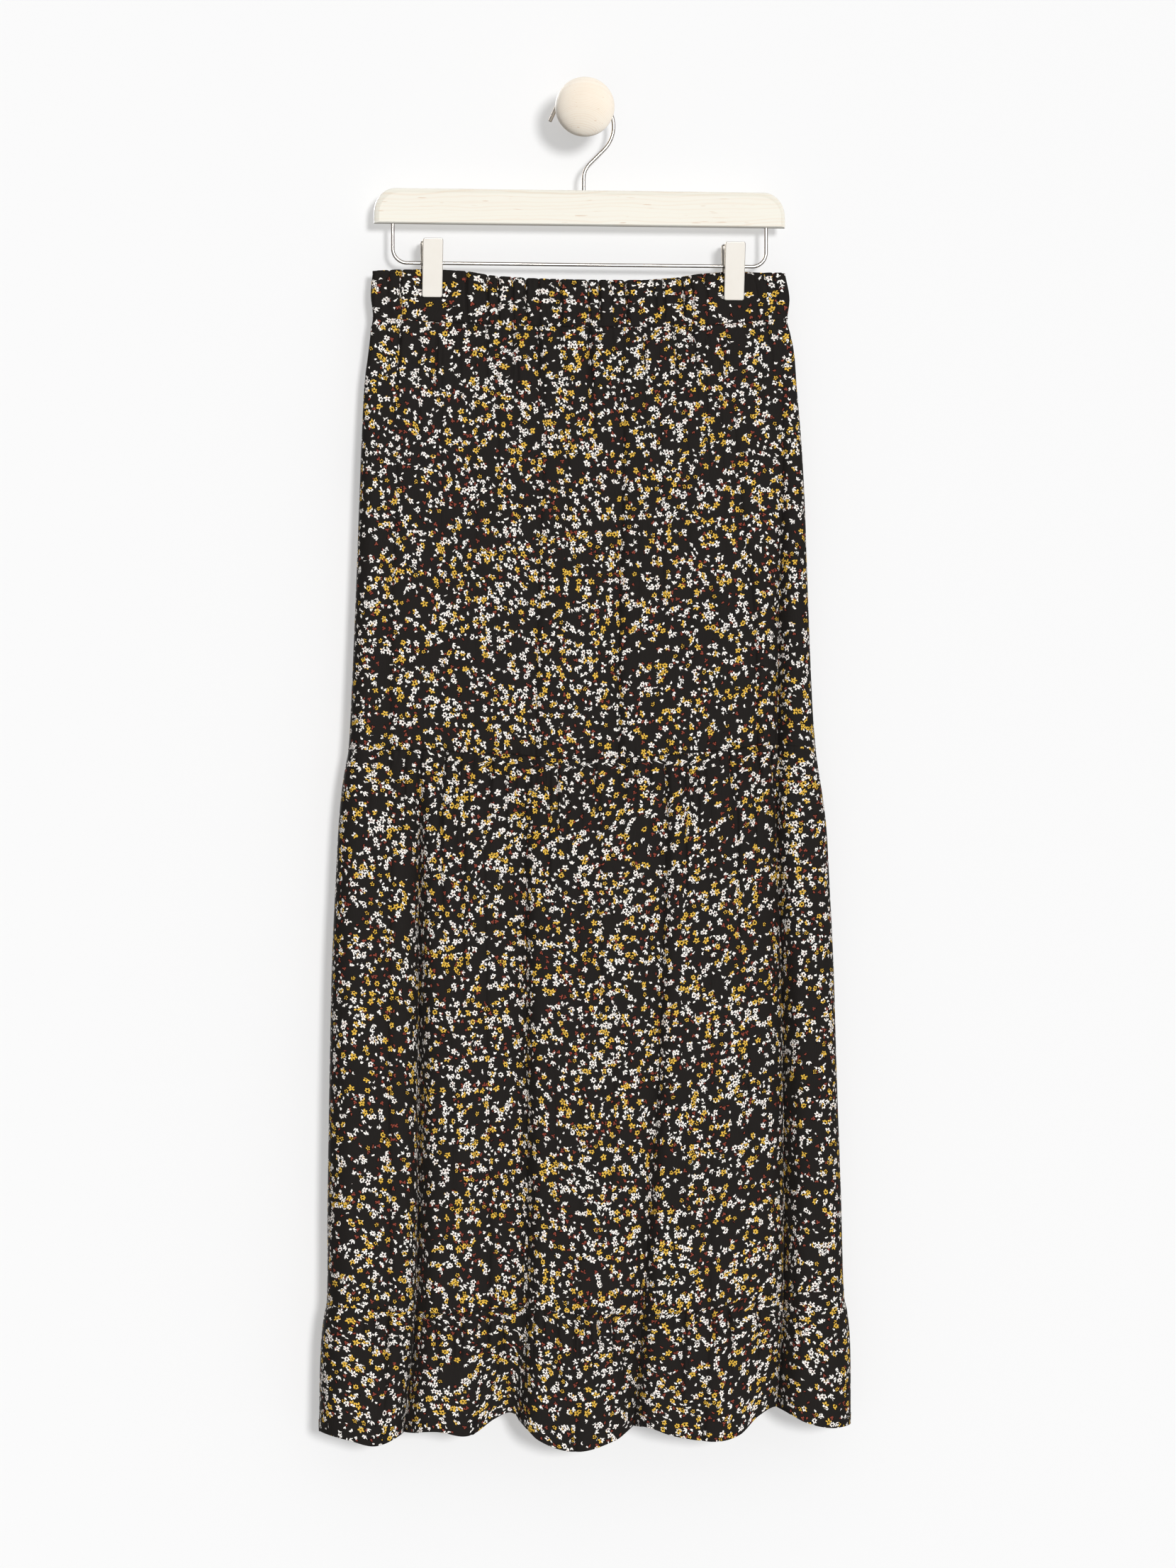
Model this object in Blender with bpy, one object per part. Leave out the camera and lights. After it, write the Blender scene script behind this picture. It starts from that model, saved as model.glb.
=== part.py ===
"""A tiered maxi skirt, clipped to a wooden hanger that hangs from a ball knob on a wall.

The frame is in metres. The origin is the centre of the knob's flat back, so the wall is
the plane y = 0. The skirt's front faces -Y, +X is to the right seen from the front, +Z is up.

The skirt is a flattened tube of four rings, each cut as a front and a back panel: an
elasticated waistband, two tiers and a flounce. Every ring is gathered into the one above.
The tables hold millimetres, and MM turns them into metres.
"""

import math
from collections import namedtuple

import bmesh
import bpy
from mathutils import Vector

MM = 0.001

# ---- driving dimensions of the hanger and the knob ----------------------------------

KNOB_BALL_RADIUS = 25 * MM
KNOB_BALL_CENTRE_Y = -60 * MM
KNOB_STEM_RADIUS = 15 * MM
KNOB_NOSE_ANGLE = math.radians(171)

HANGER_Y = -25 * MM
TOUCH_GAP = 0.3 * MM

BAR_LENGTH = 350 * MM
BAR_THICKNESS = 13 * MM
BAR_TOP = -66.5 * MM
BAR_BOTTOM = -96.5 * MM
BAR_SHOULDER_WIDTH = 18.5 * MM
BAR_SHOULDER_HEIGHT = 21 * MM
BAR_EDGE_ROUND = 3.2 * MM

WIRE_RADIUS = 1.5 * MM
HOOK_SHANK_X = 3 * MM
CROOK_RADIUS = 28.5 * MM
CROOK_CENTRE_Z = KNOB_STEM_RADIUS + TOUCH_GAP + WIRE_RADIUS - CROOK_RADIUS
CROOK_TIP_RADIUS = 20.2 * MM
CROOK_TIP_LENGTH = 14.3 * MM
CROOK_TIP_ANGLE = 156
CROOK_MEET_ANGLE = 100
NECK_LEAN = 45
NECK_RADIUS = 18.4 * MM

ROD_HALF_WIDTH = 159 * MM
ROD_CORNER_RADIUS = 12 * MM
ROD_Z = -129.4 * MM

CLIP_CENTRES = {"left": -126 * MM, "right": 131 * MM}
CLIP_TIP_Z = -158.5 * MM
CLIP_WIDTH = 17.2 * MM
CLIP_SHEET = 1.0 * MM
CLIP_CHAMFER = 0.5 * MM
CLIP_TIP_INSIDE = 2.9 * MM
CLIP_SPREAD = math.tan(math.radians(12))

SPRING_COIL_RADIUS = 2.7 * MM
SPRING_WIRE_RADIUS = 0.7 * MM
SPRING_TURNS = 4
SPRING_PITCH = 2.2 * MM
SPRING_STEPS = 8
SPRING_LEG_RISE = 13 * MM
SPRING_LEG_ROOM = 0.21 * MM

# One plate of a clip from its tip up, in millimetres: how far each side narrows, and how
# far the flanges stand towards the other plate.
Station = namedtuple("Station", "rise narrowing flange")
CLIP_STATIONS = [
    Station(0, 2.0, 0.3),
    Station(0.6, 0.7, 0.3),
    Station(2.0, 0, 0.3),
    Station(6.0, 0, 0.6),
    Station(20, 0, 3.0),
    Station(45, 0, 3.0),
    Station(48.2, 0.6, 1.2),
    Station(49, 2.0, 0.4),
]

# ---- the skirt, in millimetres -----------------------------------------------------

BAND_WALL = 2.0
CLOTH_WALL = 1.2
SEAM_GAP = 0.3
SIDE_STRAIGHT = 1.0
SIDE_ANGLES = (35, 65)
SIDE_REACH = 0.9
SIDE_RISE = 1.6
MITRE_LIMIT = 0.7

# The side seams' places at each height, from the waist down to the hem.
Outline = namedtuple("Outline", "z left right")
OUTLINE = [
    Outline(-134, -175.5, 175.0),
    Outline(-156, -177.6, 179.2),
    Outline(-175, -175.8, 177.2),
    Outline(-186, -177.6, 179.8),
    Outline(-203, -179.4, 183.2),
    Outline(-230, -182.9, 185.0),
    Outline(-280, -185.6, 189.0),
    Outline(-330, -187.6, 191.6),
    Outline(-400, -190.2, 193.8),
    Outline(-500, -194.6, 197.6),
    Outline(-541, -197.0, 200.6),
    Outline(-556, -199.9, 202.6),
    Outline(-576, -202.8, 205.8),
    Outline(-605, -205.4, 209.4),
    Outline(-650, -207.8, 211.8),
    Outline(-720, -211.0, 215.2),
    Outline(-820, -213.2, 218.0),
    Outline(-920, -214.8, 221.4),
    Outline(-1003, -215.4, 223.8),
    Outline(-1018, -218.3, 226.8),
    Outline(-1045, -220.8, 229.0),
    Outline(-1112, -222.2, 229.2),
]

# How far the tube's middle stands from the wall, and half of its thickness.
Bulk = namedtuple("Bulk", "z middle half")
BULK = [
    Bulk(-134, -25.0, 5.0),
    Bulk(-180, -25.0, 6.0),
    Bulk(-240, -26.5, 9.5),
    Bulk(-330, -28.5, 12.5),
    Bulk(-545, -32.0, 16.0),
    Bulk(-800, -35.5, 20.0),
    Bulk(-1005, -37.5, 23.0),
    Bulk(-1130, -39.5, 26.0),
]

# Between the clips the waist stands open, and at each clip it is pressed flat.
MOUTH_EDGE_HALF = 4.0
MOUTH_OPENING = 5.5
MOUTH_SPAN = 180.0
PINCH_HALF = 2.3
PINCH_FLAT = 11.0
PINCH_REACH = 33.0
PINCH_FADE = 120.0
GATHER_PINCH_FADE = 48.0
BAND_END_Z = -175.0

# The heights of the seams across the front, from the left side seam to the right one.
Seam = namedtuple("Seam", "x waist band_seam upper_seam lower_seam hem")
SEAMS = [
    Seam(-224, -137.0, -175.8, -540.0, -1006.0, -1111.0),
    Seam(-200, -137.0, -175.8, -540.0, -1007.0, -1117.0),
    Seam(-176, -137.0, -175.8, -540.3, -1008.5, -1122.5),
    Seam(-150, -135.6, -177.2, -540.2, -1010.5, -1113.0),
    Seam(-126, -134.6, -178.8, -540.6, -1012.5, -1111.0),
    Seam(-98, -136.6, -180.2, -542.8, -1012.0, -1115.0),
    Seam(-76, -140.0, -181.4, -543.5, -1009.0, -1101.0),
    Seam(-60, -141.2, -181.8, -544.0, -1008.5, -1097.5),
    Seam(-40, -142.4, -182.3, -546.3, -1010.0, -1119.0),
    Seam(-8, -143.2, -182.7, -548.6, -1014.5, -1129.5),
    Seam(26, -143.2, -182.5, -547.6, -1015.5, -1121.0),
    Seam(47, -142.8, -182.2, -546.3, -1015.6, -1109.5),
    Seam(75, -142.0, -181.4, -544.4, -1015.2, -1117.5),
    Seam(110, -138.2, -179.5, -541.4, -1011.0, -1122.5),
    Seam(131, -135.6, -177.6, -539.2, -1005.0, -1117.0),
    Seam(147, -135.2, -176.0, -537.2, -1001.5, -1102.0),
    Seam(164, -135.0, -174.4, -535.8, -999.0, -1095.5),
    Seam(186, -135.0, -173.2, -537.4, -998.0, -1107.0),
    Seam(208, -135.0, -172.4, -538.4, -997.6, -1112.5),
    Seam(230, -135.0, -172.4, -539.0, -997.6, -1111.0),
]

# Hanging folds. Each is a valley with a width to its left and its right, followed down
# through five heights: its place across, and how deep it goes in. The ridge beside a
# narrow flank reads as a hard crease.
UPPER_HEIGHTS = (-180, -300, -430, -545, -615)
LOWER_HEIGHTS = (-545, -615, -800, -1005, -1130)
Fold = namedtuple("Fold", "left right x depth")
FRONT_UPPER_FOLDS = [
    Fold(18, 5, x=(-164, -157, -162, -163, -163), depth=(0.5, 2.5, 3.0, 3.0, 0)),
    Fold(14, 5, x=(-90, -90, -91, -92, -93), depth=(1.2, 1.4, 0.8, 0.6, 0)),
    Fold(26, 6, x=(-32, -33, -38, -40, -41), depth=(1.5, 2.5, 3.5, 4.0, 0)),
    Fold(30, 5, x=(36, 35.5, 31.5, 30.5, 30), depth=(2.5, 4.0, 5.0, 5.5, 0)),
    Fold(14, 6, x=(88, 90, 92, 93, 93), depth=(0.8, 1.2, 1.0, 1.0, 0)),
    Fold(20, 5, x=(127, 133, 146.5, 149, 150), depth=(0.5, 2.0, 3.5, 3.5, 0)),
    Fold(15, 4, x=(172, 172, 169, 168, 167.6), depth=(0, 2.5, 5.0, 5.5, 0)),
]
FRONT_LOWER_FOLDS = [
    Fold(14, 5, x=(-161, -162, -165, -164.5, -172), depth=(0, 2.5, 3.0, 3.0, 2.0)),
    Fold(17, 5, x=(-138, -139, -138, -138.5, -149), depth=(0, 7.0, 11.0, 12.0, 15.0)),
    Fold(14, 5, x=(-84.6, -84, -82, -81, -98), depth=(0, 1.5, 2.5, 3.0, 3.0)),
    Fold(30, 5, x=(-49, -48.5, -46, -43.5, -51), depth=(0, 6.0, 10.0, 11.0, 15.0)),
    Fold(12, 6, x=(-6, -5, -4, -5, -8), depth=(0, 1.0, 1.5, 2.0, 3.0)),
    Fold(36, 5, x=(71.4, 70, 66, 62.5, 49.7), depth=(0, 7.0, 11.0, 12.0, 16.0)),
    Fold(14, 8, x=(108, 108, 107, 106, 100), depth=(0, 1.6, 1.0, 2.0, 3.5)),
    Fold(24, 5, x=(167.6, 168.5, 173, 175.4, 169), depth=(0, 7.0, 11.0, 12.0, 15.0)),
    Fold(6, 8, x=(201, 204, 206, 208, 210), depth=(0, 1.5, 2.0, 2.0, 2.0)),
]
BACK_UPPER_FOLDS = [
    Fold(5, 20, x=(-150, -148, -145, -146, -146), depth=(0.6, 2.5, 4.0, 4.5, 0)),
    Fold(14, 6, x=(-96, -96, -97, -98, -98), depth=(1.2, 1.4, 1.5, 1.5, 0)),
    Fold(6, 26, x=(-52, -50, -46, -44, -44), depth=(2.0, 3.5, 4.5, 5.0, 0)),
    Fold(12, 12, x=(4, 6, 8, 9, 9), depth=(1.0, 1.5, 2.0, 2.0, 0)),
    Fold(5, 24, x=(62, 64, 69, 72, 72), depth=(1.0, 3.0, 4.5, 5.0, 0)),
    Fold(16, 5, x=(150, 152, 155, 156, 156), depth=(0.5, 2.0, 3.5, 4.0, 0)),
]
BACK_LOWER_FOLDS = [
    Fold(8, 6, x=(-198, -201, -203, -205, -208), depth=(0, 1.5, 2.0, 2.0, 2.0)),
    Fold(5, 26, x=(-168, -168, -166, -164, -160), depth=(0, 7.0, 10.0, 12.0, 15.0)),
    Fold(14, 5, x=(-112, -112, -110, -108, -106), depth=(0, 2.0, 2.5, 3.0, 4.0)),
    Fold(5, 32, x=(-82, -81, -79, -80, -76), depth=(0, 6.0, 10.0, 12.0, 15.0)),
    Fold(14, 6, x=(-12, -12, -14, -15, -18), depth=(0, 2.0, 2.0, 2.5, 4.0)),
    Fold(5, 34, x=(24, 25, 27, 30, 34), depth=(0, 7.0, 11.0, 12.0, 16.0)),
    Fold(14, 5, x=(98, 98, 100, 101, 104), depth=(0, 2.0, 2.0, 3.0, 4.0)),
    Fold(5, 28, x=(128, 129, 132, 136, 142), depth=(0, 6.5, 10.0, 12.0, 15.0)),
    Fold(6, 8, x=(200, 203, 204, 206, 208), depth=(0, 1.5, 2.0, 2.0, 2.0)),
]
FOLDS = {
    "front": (FRONT_UPPER_FOLDS, FRONT_LOWER_FOLDS),
    "back": (BACK_UPPER_FOLDS, BACK_LOWER_FOLDS),
}
FOLDS_START_Z = -174.0
FOLDS_GROW = 45.0
DEEP_FOLD = 3.4
FOLD_STEP = 12.0
LEAST_STEP = 1.5
NOMINAL_HALF_WIDTH = 212

# Gathers: waves drawn into a seam, highest a little below it and then fading out.
Gather = namedtuple("Gather", "waves stitched peak fade end phase")
GATHERS = {
    "waistband": Gather(waves=32, stitched=0.5, peak=0.9, fade=60, end=0.9, phase=0.0),
    "tier_1": Gather(waves=32, stitched=0.5, peak=1.5, fade=70, end=0.0, phase=0.0),
    "tier_2": Gather(waves=26, stitched=0.6, peak=2.0, fade=85, end=0.0, phase=1.7),
    "flounce": Gather(waves=30, stitched=0.6, peak=2.4, fade=60, end=1.3, phase=3.1),
}
GATHER_RISE = 12.0
GATHER_SHIFT = 0.16
GATHER_VARIETY = 0.35

# Each ring: its upper and lower edges, its wall, and its rows by their distance below
# the upper edge. "fine" rows carry the gathers of this ring, "plain" rows the folds alone.
Ring = namedtuple("Ring", "name top bottom wall fine_rows plain_rows below")
RINGS = [
    Ring("waistband", "waist", "band_seam", BAND_WALL, (0, 0.5), (), "tier_1"),
    Ring("tier_1", "band_seam", "upper_seam", CLOTH_WALL,
         (0, 0.033, 0.085), (0.16, 0.30, 0.46, 0.62, 0.78, 0.92), "tier_2"),
    Ring("tier_2", "upper_seam", "lower_seam", CLOTH_WALL,
         (0, 0.026, 0.07), (0.14, 0.27, 0.42, 0.58, 0.74, 0.90), "flounce"),
    Ring("flounce", "lower_seam", "hem", CLOTH_WALL, (0, 0.11, 0.34, 0.68), (), "flounce"),
]

CLOTH_BLACK = (0.012, 0.011, 0.011)
WOOD_PALE = (0.86, 0.74, 0.60)
STEEL_GREY = (0.62, 0.61, 0.59)
CLIP_SILVER = (0.84, 0.82, 0.79)


# ---- small helpers -------------------------------------------------------------------

def clamp(value, low=0.0, high=1.0):
    return max(low, min(high, value))


def smooth(value):
    """Ease from 0 to 1 as value goes from 0 to 1."""
    value = clamp(value)
    return value * value * (3 - 2 * value)


def mix(start, end, share):
    return start + (end - start) * share


def spline(places, values, at):
    """A curve through values at rising places, straight beyond its ends."""
    last = len(places) - 1
    if at <= places[0]:
        return values[0]
    if at >= places[last]:
        return values[last]
    index = 0
    while places[index + 1] < at:
        index += 1
    step = places[index + 1] - places[index]
    share = (at - places[index]) / step

    def slope(i):
        before = max(i - 1, 0)
        after = min(i + 1, last)
        return (values[after] - values[before]) / (places[after] - places[before])

    rise_in = slope(index) * step
    rise_out = slope(index + 1) * step
    start, end = values[index], values[index + 1]
    square, cube = share ** 2, share ** 3
    return ((2 * cube - 3 * square + 1) * start + (cube - 2 * square + share) * rise_in
            + (3 * square - 2 * cube) * end + (cube - square) * rise_out)


def column(table, field, at):
    """Read one column of a table whose first field orders its rows."""
    rows = sorted(table, key=lambda row: row[0])
    return spline([row[0] for row in rows], [getattr(row, field) for row in rows], at)


# ---- the form of the skirt -----------------------------------------------------------

def seam_height(edge, x, side):
    """Height of a seam at x. The back's seams run as the front's seen in a mirror, ends
    joined. The hem dips and rises in step all round."""
    left, right = SEAMS[0].x, SEAMS[-1].x
    if side == "front" or edge == "hem":
        return column(SEAMS, edge, x)
    share = (x - left) / (right - left)
    ends_apart = column(SEAMS, edge, left) - column(SEAMS, edge, right)
    return column(SEAMS, edge, left + right - x) + ends_apart * (1 - 2 * share)


def half_thickness(x, z):
    """Half of the tube's thickness: the open mouth and the clips' pinch, then the bulk."""
    opening = math.cos(math.pi * clamp(x / MOUTH_SPAN, -0.5, 0.5)) ** 2
    mouth = MOUTH_EDGE_HALF + MOUTH_OPENING * opening
    mouth = mix(mouth, PINCH_HALF, pinch(x))
    return mix(mouth, column(BULK, "half", z), smooth((BAND_END_Z - z) / PINCH_FADE))


def pinch(x):
    """1 under a clip, 0 away from the clips."""
    nearest = min(abs(x - centre / MM) for centre in CLIP_CENTRES.values())
    return 1 - smooth((nearest - PINCH_FLAT) / (PINCH_REACH - PINCH_FLAT))


def fold_at(fold, heights, z):
    """Place and depth of a fold at height z."""
    rising = list(reversed(heights))
    place = spline(rising, list(reversed(fold.x)), z)
    depth = max(0.0, spline(rising, list(reversed(fold.depth)), z))
    return place, depth


def folds_near(side, z):
    """The table of folds that shapes a panel at height z, with its heights."""
    upper, lower = FOLDS[side]
    found = []
    if z > UPPER_HEIGHTS[-1]:
        found += [(fold, UPPER_HEIGHTS) for fold in upper]
    if z < LOWER_HEIGHTS[0]:
        found += [(fold, LOWER_HEIGHTS) for fold in lower]
    return found


def fold_depth(side, x, z):
    """How far the folds draw the cloth inwards at a point."""
    total = 0.0
    for fold, heights in folds_near(side, z):
        place, depth = fold_at(fold, heights, z)
        width = fold.left if x < place else fold.right
        away = abs(x - place) / width
        if away < 1:
            total += depth * 0.5 * (1 + math.cos(math.pi * away))
    return total * smooth((FOLDS_START_Z - z) / FOLDS_GROW)


def gather_height(gather, below):
    """Height of a ring's gathers at a distance below its upper seam."""
    rise = mix(gather.stitched, gather.peak, smooth(below / GATHER_RISE))
    return mix(rise, gather.end, smooth((below - GATHER_RISE) / gather.fade))


def uneven(number, phase):
    """A steady irregularity from -1 to 1, so that no two gathers are alike."""
    return math.sin(number * 2.399 + phase) * 0.6 + math.sin(number * 0.81 + 2 * phase) * 0.4


def fine_columns(gather):
    """Crests and troughs of a ring's gathers: share across, and height from -1 to 1."""
    columns = []
    for number in range(gather.waves):
        shift = GATHER_SHIFT * uneven(number, gather.phase)
        height = 1 + GATHER_VARIETY * uneven(number + 7, gather.phase)
        columns.append(((number + 0.25 + shift) / gather.waves, height))
        columns.append(((number + 0.75 + shift) / gather.waves, -height))
    return columns


def anchor_folds(side, ring):
    """The deep folds of a panel, whose lines its plain rows follow, and their heights."""
    heights = UPPER_HEIGHTS if ring.name == "tier_1" else LOWER_HEIGHTS
    folds = FOLDS[side][0 if ring.name == "tier_1" else 1]
    return [fold for fold in folds if max(fold.depth) >= DEEP_FOLD], heights


def anchored_places(side, ring, z, left, right):
    """X of every plain column at height z: the deep folds' lines, and even steps between."""
    folds, heights = anchor_folds(side, ring)
    anchors = [left]
    counts = []
    for fold in folds:
        place = fold_at(fold, heights, z)[0]
        middle = fold.x[2]
        marks = (place - fold.left, place, place + fold.right)
        nominal = (middle - fold.left, middle, middle + fold.right)
        previous = counts[-1][1] if counts else -NOMINAL_HALF_WIDTH
        for mark, home in zip(marks, nominal):
            anchors.append(max(mark, anchors[-1] + LEAST_STEP))
            counts.append((max(1, round((home - previous) / FOLD_STEP)), home))
            previous = home
    anchors.append(max(right, anchors[-1] + LEAST_STEP))
    room = NOMINAL_HALF_WIDTH - counts[-1][1]
    counts.append((max(1, round(room / FOLD_STEP)), NOMINAL_HALF_WIDTH))
    places = [left]
    for start, end, (count, _) in zip(anchors, anchors[1:], counts):
        places += [mix(start, end, (step + 1) / count) for step in range(count)]
    return places


def row_points(side, ring, share, gather):
    """One level of a panel's outer face, from the left side seam to the right one.

    A gathered row has the columns of its gather, and any other the anchored columns.
    """
    def height(x):
        top = seam_height(ring.top, x, side) - SEAM_GAP / 2
        bottom = seam_height(ring.bottom, x, side) + SEAM_GAP / 2
        return mix(top, bottom, share)

    left_z, right_z = height(SEAMS[0].x), height(SEAMS[-1].x)
    left = column(OUTLINE, "left", left_z)
    right = column(OUTLINE, "right", right_z)
    left_z, right_z = height(left), height(right)
    sign = -1 if side == "front" else 1

    def side_points(edge_x, edge_z, inwards):
        middle = column(BULK, "middle", edge_z)
        half = half_thickness(edge_x, edge_z)
        points = [Vector((edge_x, middle + sign * SEAM_GAP / 2, edge_z))]
        points.append(points[0] + Vector((0, sign * SIDE_STRAIGHT, 0)))
        for angle in SIDE_ANGLES:
            turn = math.radians(angle)
            x = edge_x + inwards * half * SIDE_REACH * (1 - math.cos(turn))
            rise = max(half * math.sin(turn), SIDE_RISE)
            points.append(Vector((x, middle + sign * rise, height(x))))
        return points, edge_x + inwards * half * SIDE_REACH

    start, face_left = side_points(left, left_z, 1)
    end, face_right = side_points(right, right_z, -1)
    below = share * (seam_height(ring.top, 0, side) - seam_height(ring.bottom, 0, side))
    if gather is None:
        z = height((left + right) / 2)
        face = [(x, 0.0) for x in anchored_places(side, ring, z, face_left, face_right)]
    else:
        face = [(mix(face_left, face_right, place), wave) for place, wave in fine_columns(gather)]
        face = [(face_left, 0.0)] + face + [(face_right, 0.0)]
    middle_points = []
    for x, wave in face:
        z = height(x)
        out = half_thickness(x, z) - fold_depth(side, x, z)
        if gather is not None:
            out += wave * (1 - pinch_at(x, z)) * gather_height(gather, below)
        middle_points.append(Vector((x, column(BULK, "middle", z) + sign * out, z)))
    return start + middle_points + list(reversed(end))


def pinch_at(x, z):
    """The clips' pinch, fading below the waistband."""
    return pinch(x) * (1 - smooth((BAND_END_Z - z) / GATHER_PINCH_FADE))


def inner_points(points, side, wall):
    """The same level's inner face: each point moved in, square to the outer face."""
    inner = []
    for index, point in enumerate(points):
        before = points[max(index - 1, 0)]
        after = points[min(index + 1, len(points) - 1)]
        normals = []
        for start, end in ((before, point), (point, after)):
            run = Vector((end.x - start.x, end.y - start.y, 0))
            if run.length > 0:
                run.normalize()
                normals.append(Vector((run.y, -run.x, 0)))
        normal = sum(normals, Vector((0, 0, 0)))
        normal.normalize()
        spread = max(MITRE_LIMIT, normal.dot(normals[0]))
        outwards = normal if side == "front" else -normal
        inner.append(point - outwards * wall / spread)
    return inner


# ---- building meshes -----------------------------------------------------------------

def material(name, colour, roughness, metallic=0.0):
    made = bpy.data.materials.get(name)
    if made is None:
        made = bpy.data.materials.new(name)
        made.use_nodes = True
        shader = made.node_tree.nodes["Principled BSDF"]
        shader.inputs["Base Color"].default_value = (*colour, 1)
        shader.inputs["Roughness"].default_value = roughness
        shader.inputs["Metallic"].default_value = metallic
    return made


def add_object(name, data, finish):
    made = bpy.data.objects.new(name, data)
    bpy.context.collection.objects.link(made)
    data.materials.append(finish)
    return made


def add_bmesh(name, bm, finish, crease_angle=40):
    mesh = bpy.data.meshes.new(name)
    bmesh.ops.recalc_face_normals(bm, faces=bm.faces[:])
    bm.to_mesh(mesh)
    bm.free()
    mesh.shade_smooth()
    mesh.set_sharp_from_angle(angle=math.radians(crease_angle))
    return add_object(name, mesh, finish)


def join_rows(bm, upper, lower, side_count):
    """Faces between two rows. Their side columns match, and the rest is laced by x."""
    if len(upper) == len(lower):
        for index in range(len(upper) - 1):
            bm.faces.new((upper[index], upper[index + 1], lower[index + 1], lower[index]))
        return
    for index in range(side_count):
        bm.faces.new((upper[index], upper[index + 1], lower[index + 1], lower[index]))
        bm.faces.new((upper[-index - 2], upper[-index - 1], lower[-index - 1], lower[-index - 2]))
    high, low = side_count, side_count
    high_end, low_end = len(upper) - 1 - side_count, len(lower) - 1 - side_count
    while high < high_end or low < low_end:
        move_high = low == low_end
        if high < high_end and low < low_end:
            move_high = upper[high + 1].co.x <= lower[low + 1].co.x
        if move_high:
            bm.faces.new((upper[high], upper[high + 1], lower[low]))
            high += 1
        else:
            bm.faces.new((upper[high], lower[low + 1], lower[low]))
            low += 1


def add_panel(ring, side, finish):
    """One cut panel as a closed wall: outer face, inner face and the rims between them."""
    gather = GATHERS[ring.name]
    rows = [row_points(side, ring, share, gather) for share in ring.fine_rows]
    rows += [row_points(side, ring, share, None) for share in ring.plain_rows]
    rows.append(row_points(side, ring, 1.0, seam_gather(ring)))
    bm = bmesh.new()
    outer = [[bm.verts.new(point * MM) for point in row] for row in rows]
    inner = [[bm.verts.new(point * MM) for point in inner_points(row, side, ring.wall)]
             for row in rows]
    side_count = len(SIDE_ANGLES) + 2
    for skin in (outer, inner):
        for upper, lower in zip(skin, skin[1:]):
            join_rows(bm, upper, lower, side_count)
    for index in (0, -1):
        for near, far, near_in, far_in in zip(outer[index], outer[index][1:],
                                              inner[index], inner[index][1:]):
            bm.faces.new((near, far, far_in, near_in))
        for high, low, high_in, low_in in zip(outer, outer[1:], inner, inner[1:]):
            bm.faces.new((high[index], low[index], low_in[index], high_in[index]))
    return add_bmesh(f"{ring.name}_{side}", bm, finish)


def seam_gather(ring):
    """The lower edge follows the gathers of the ring sewn below it, at the stitching."""
    gather = GATHERS[ring.below]
    if ring.bottom == "hem":
        return gather
    return gather._replace(peak=gather.stitched, end=gather.stitched)


def add_wire(name, points, radius, finish, sides=8):
    """A round wire along points, closed at both ends."""
    curve = bpy.data.curves.new(name, "CURVE")
    curve.dimensions = "3D"
    curve.twist_mode = "MINIMUM"
    curve.bevel_depth = radius
    curve.bevel_resolution = (sides - 4) // 2
    curve.use_fill_caps = True
    line = curve.splines.new("POLY")
    line.points.add(len(points) - 1)
    for target, point in zip(line.points, points):
        target.co = (*point, 1)
    return add_object(name, curve, finish)


def arc(centre, radius, start, end, count):
    """Points in the hanger's plane round a centre, angles in degrees from +X."""
    points = []
    for step in range(count + 1):
        turn = math.radians(mix(start, end, step / count))
        points.append(Vector((centre[0] + radius * math.cos(turn), HANGER_Y,
                              centre[1] + radius * math.sin(turn))))
    return points


# ---- the knob and the hanger ---------------------------------------------------------

def add_knob(finish):
    """A turned knob: a stem with a flat back on the wall, and a ball at its front."""
    meeting = math.asin(KNOB_STEM_RADIUS / KNOB_BALL_RADIUS)
    profile = [Vector((KNOB_STEM_RADIUS, 0, 0))]
    steps = 9
    for step in range(steps):
        turn = mix(meeting, KNOB_NOSE_ANGLE, step / (steps - 1))
        profile.append(Vector((KNOB_BALL_RADIUS * math.sin(turn),
                               KNOB_BALL_CENTRE_Y + KNOB_BALL_RADIUS * math.cos(turn), 0)))
    bm = bmesh.new()
    verts = [bm.verts.new(point) for point in profile]
    edges = [bm.edges.new(pair) for pair in zip(verts, verts[1:])]
    bmesh.ops.spin(bm, geom=verts + edges, axis=(0, 1, 0), cent=(0, 0, 0),
                   angle=math.tau, steps=24, use_merge=True)
    bmesh.ops.holes_fill(bm, edges=bm.edges[:], sides=0)
    return add_bmesh("wall_knob", bm, finish)


def add_bar(finish):
    """The wooden bar: a flat board with round shoulders and softened edges."""
    half = BAR_LENGTH / 2
    outline = [(-half, BAR_BOTTOM), (half, BAR_BOTTOM)]
    steps = 6
    for mirror in (1, -1):
        shoulder = []
        for step in range(steps + 1):
            turn = math.pi / 2 * step / steps
            x = half - BAR_SHOULDER_WIDTH * (1 - math.cos(turn))
            z = BAR_TOP - BAR_SHOULDER_HEIGHT * (1 - math.sin(turn))
            shoulder.append((mirror * x, z))
        outline += shoulder if mirror == 1 else reversed(shoulder)
    bm = bmesh.new()
    front = bm.faces.new([bm.verts.new((x, HANGER_Y - BAR_THICKNESS / 2, z)) for x, z in outline])
    pushed = bmesh.ops.extrude_face_region(bm, geom=[front])
    moved = [item for item in pushed["geom"] if isinstance(item, bmesh.types.BMVert)]
    bmesh.ops.translate(bm, verts=moved, vec=(0, BAR_THICKNESS, 0))
    rims = [edge for edge in bm.edges
            if abs(edge.verts[0].co.y - edge.verts[1].co.y) < TOUCH_GAP]
    bmesh.ops.bevel(bm, geom=rims, offset=BAR_EDGE_ROUND, offset_type="OFFSET", segments=2,
                    profile=0.5, affect="EDGES", material=-1)
    return add_bmesh("hanger_bar", bm, finish, crease_angle=50)


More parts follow.
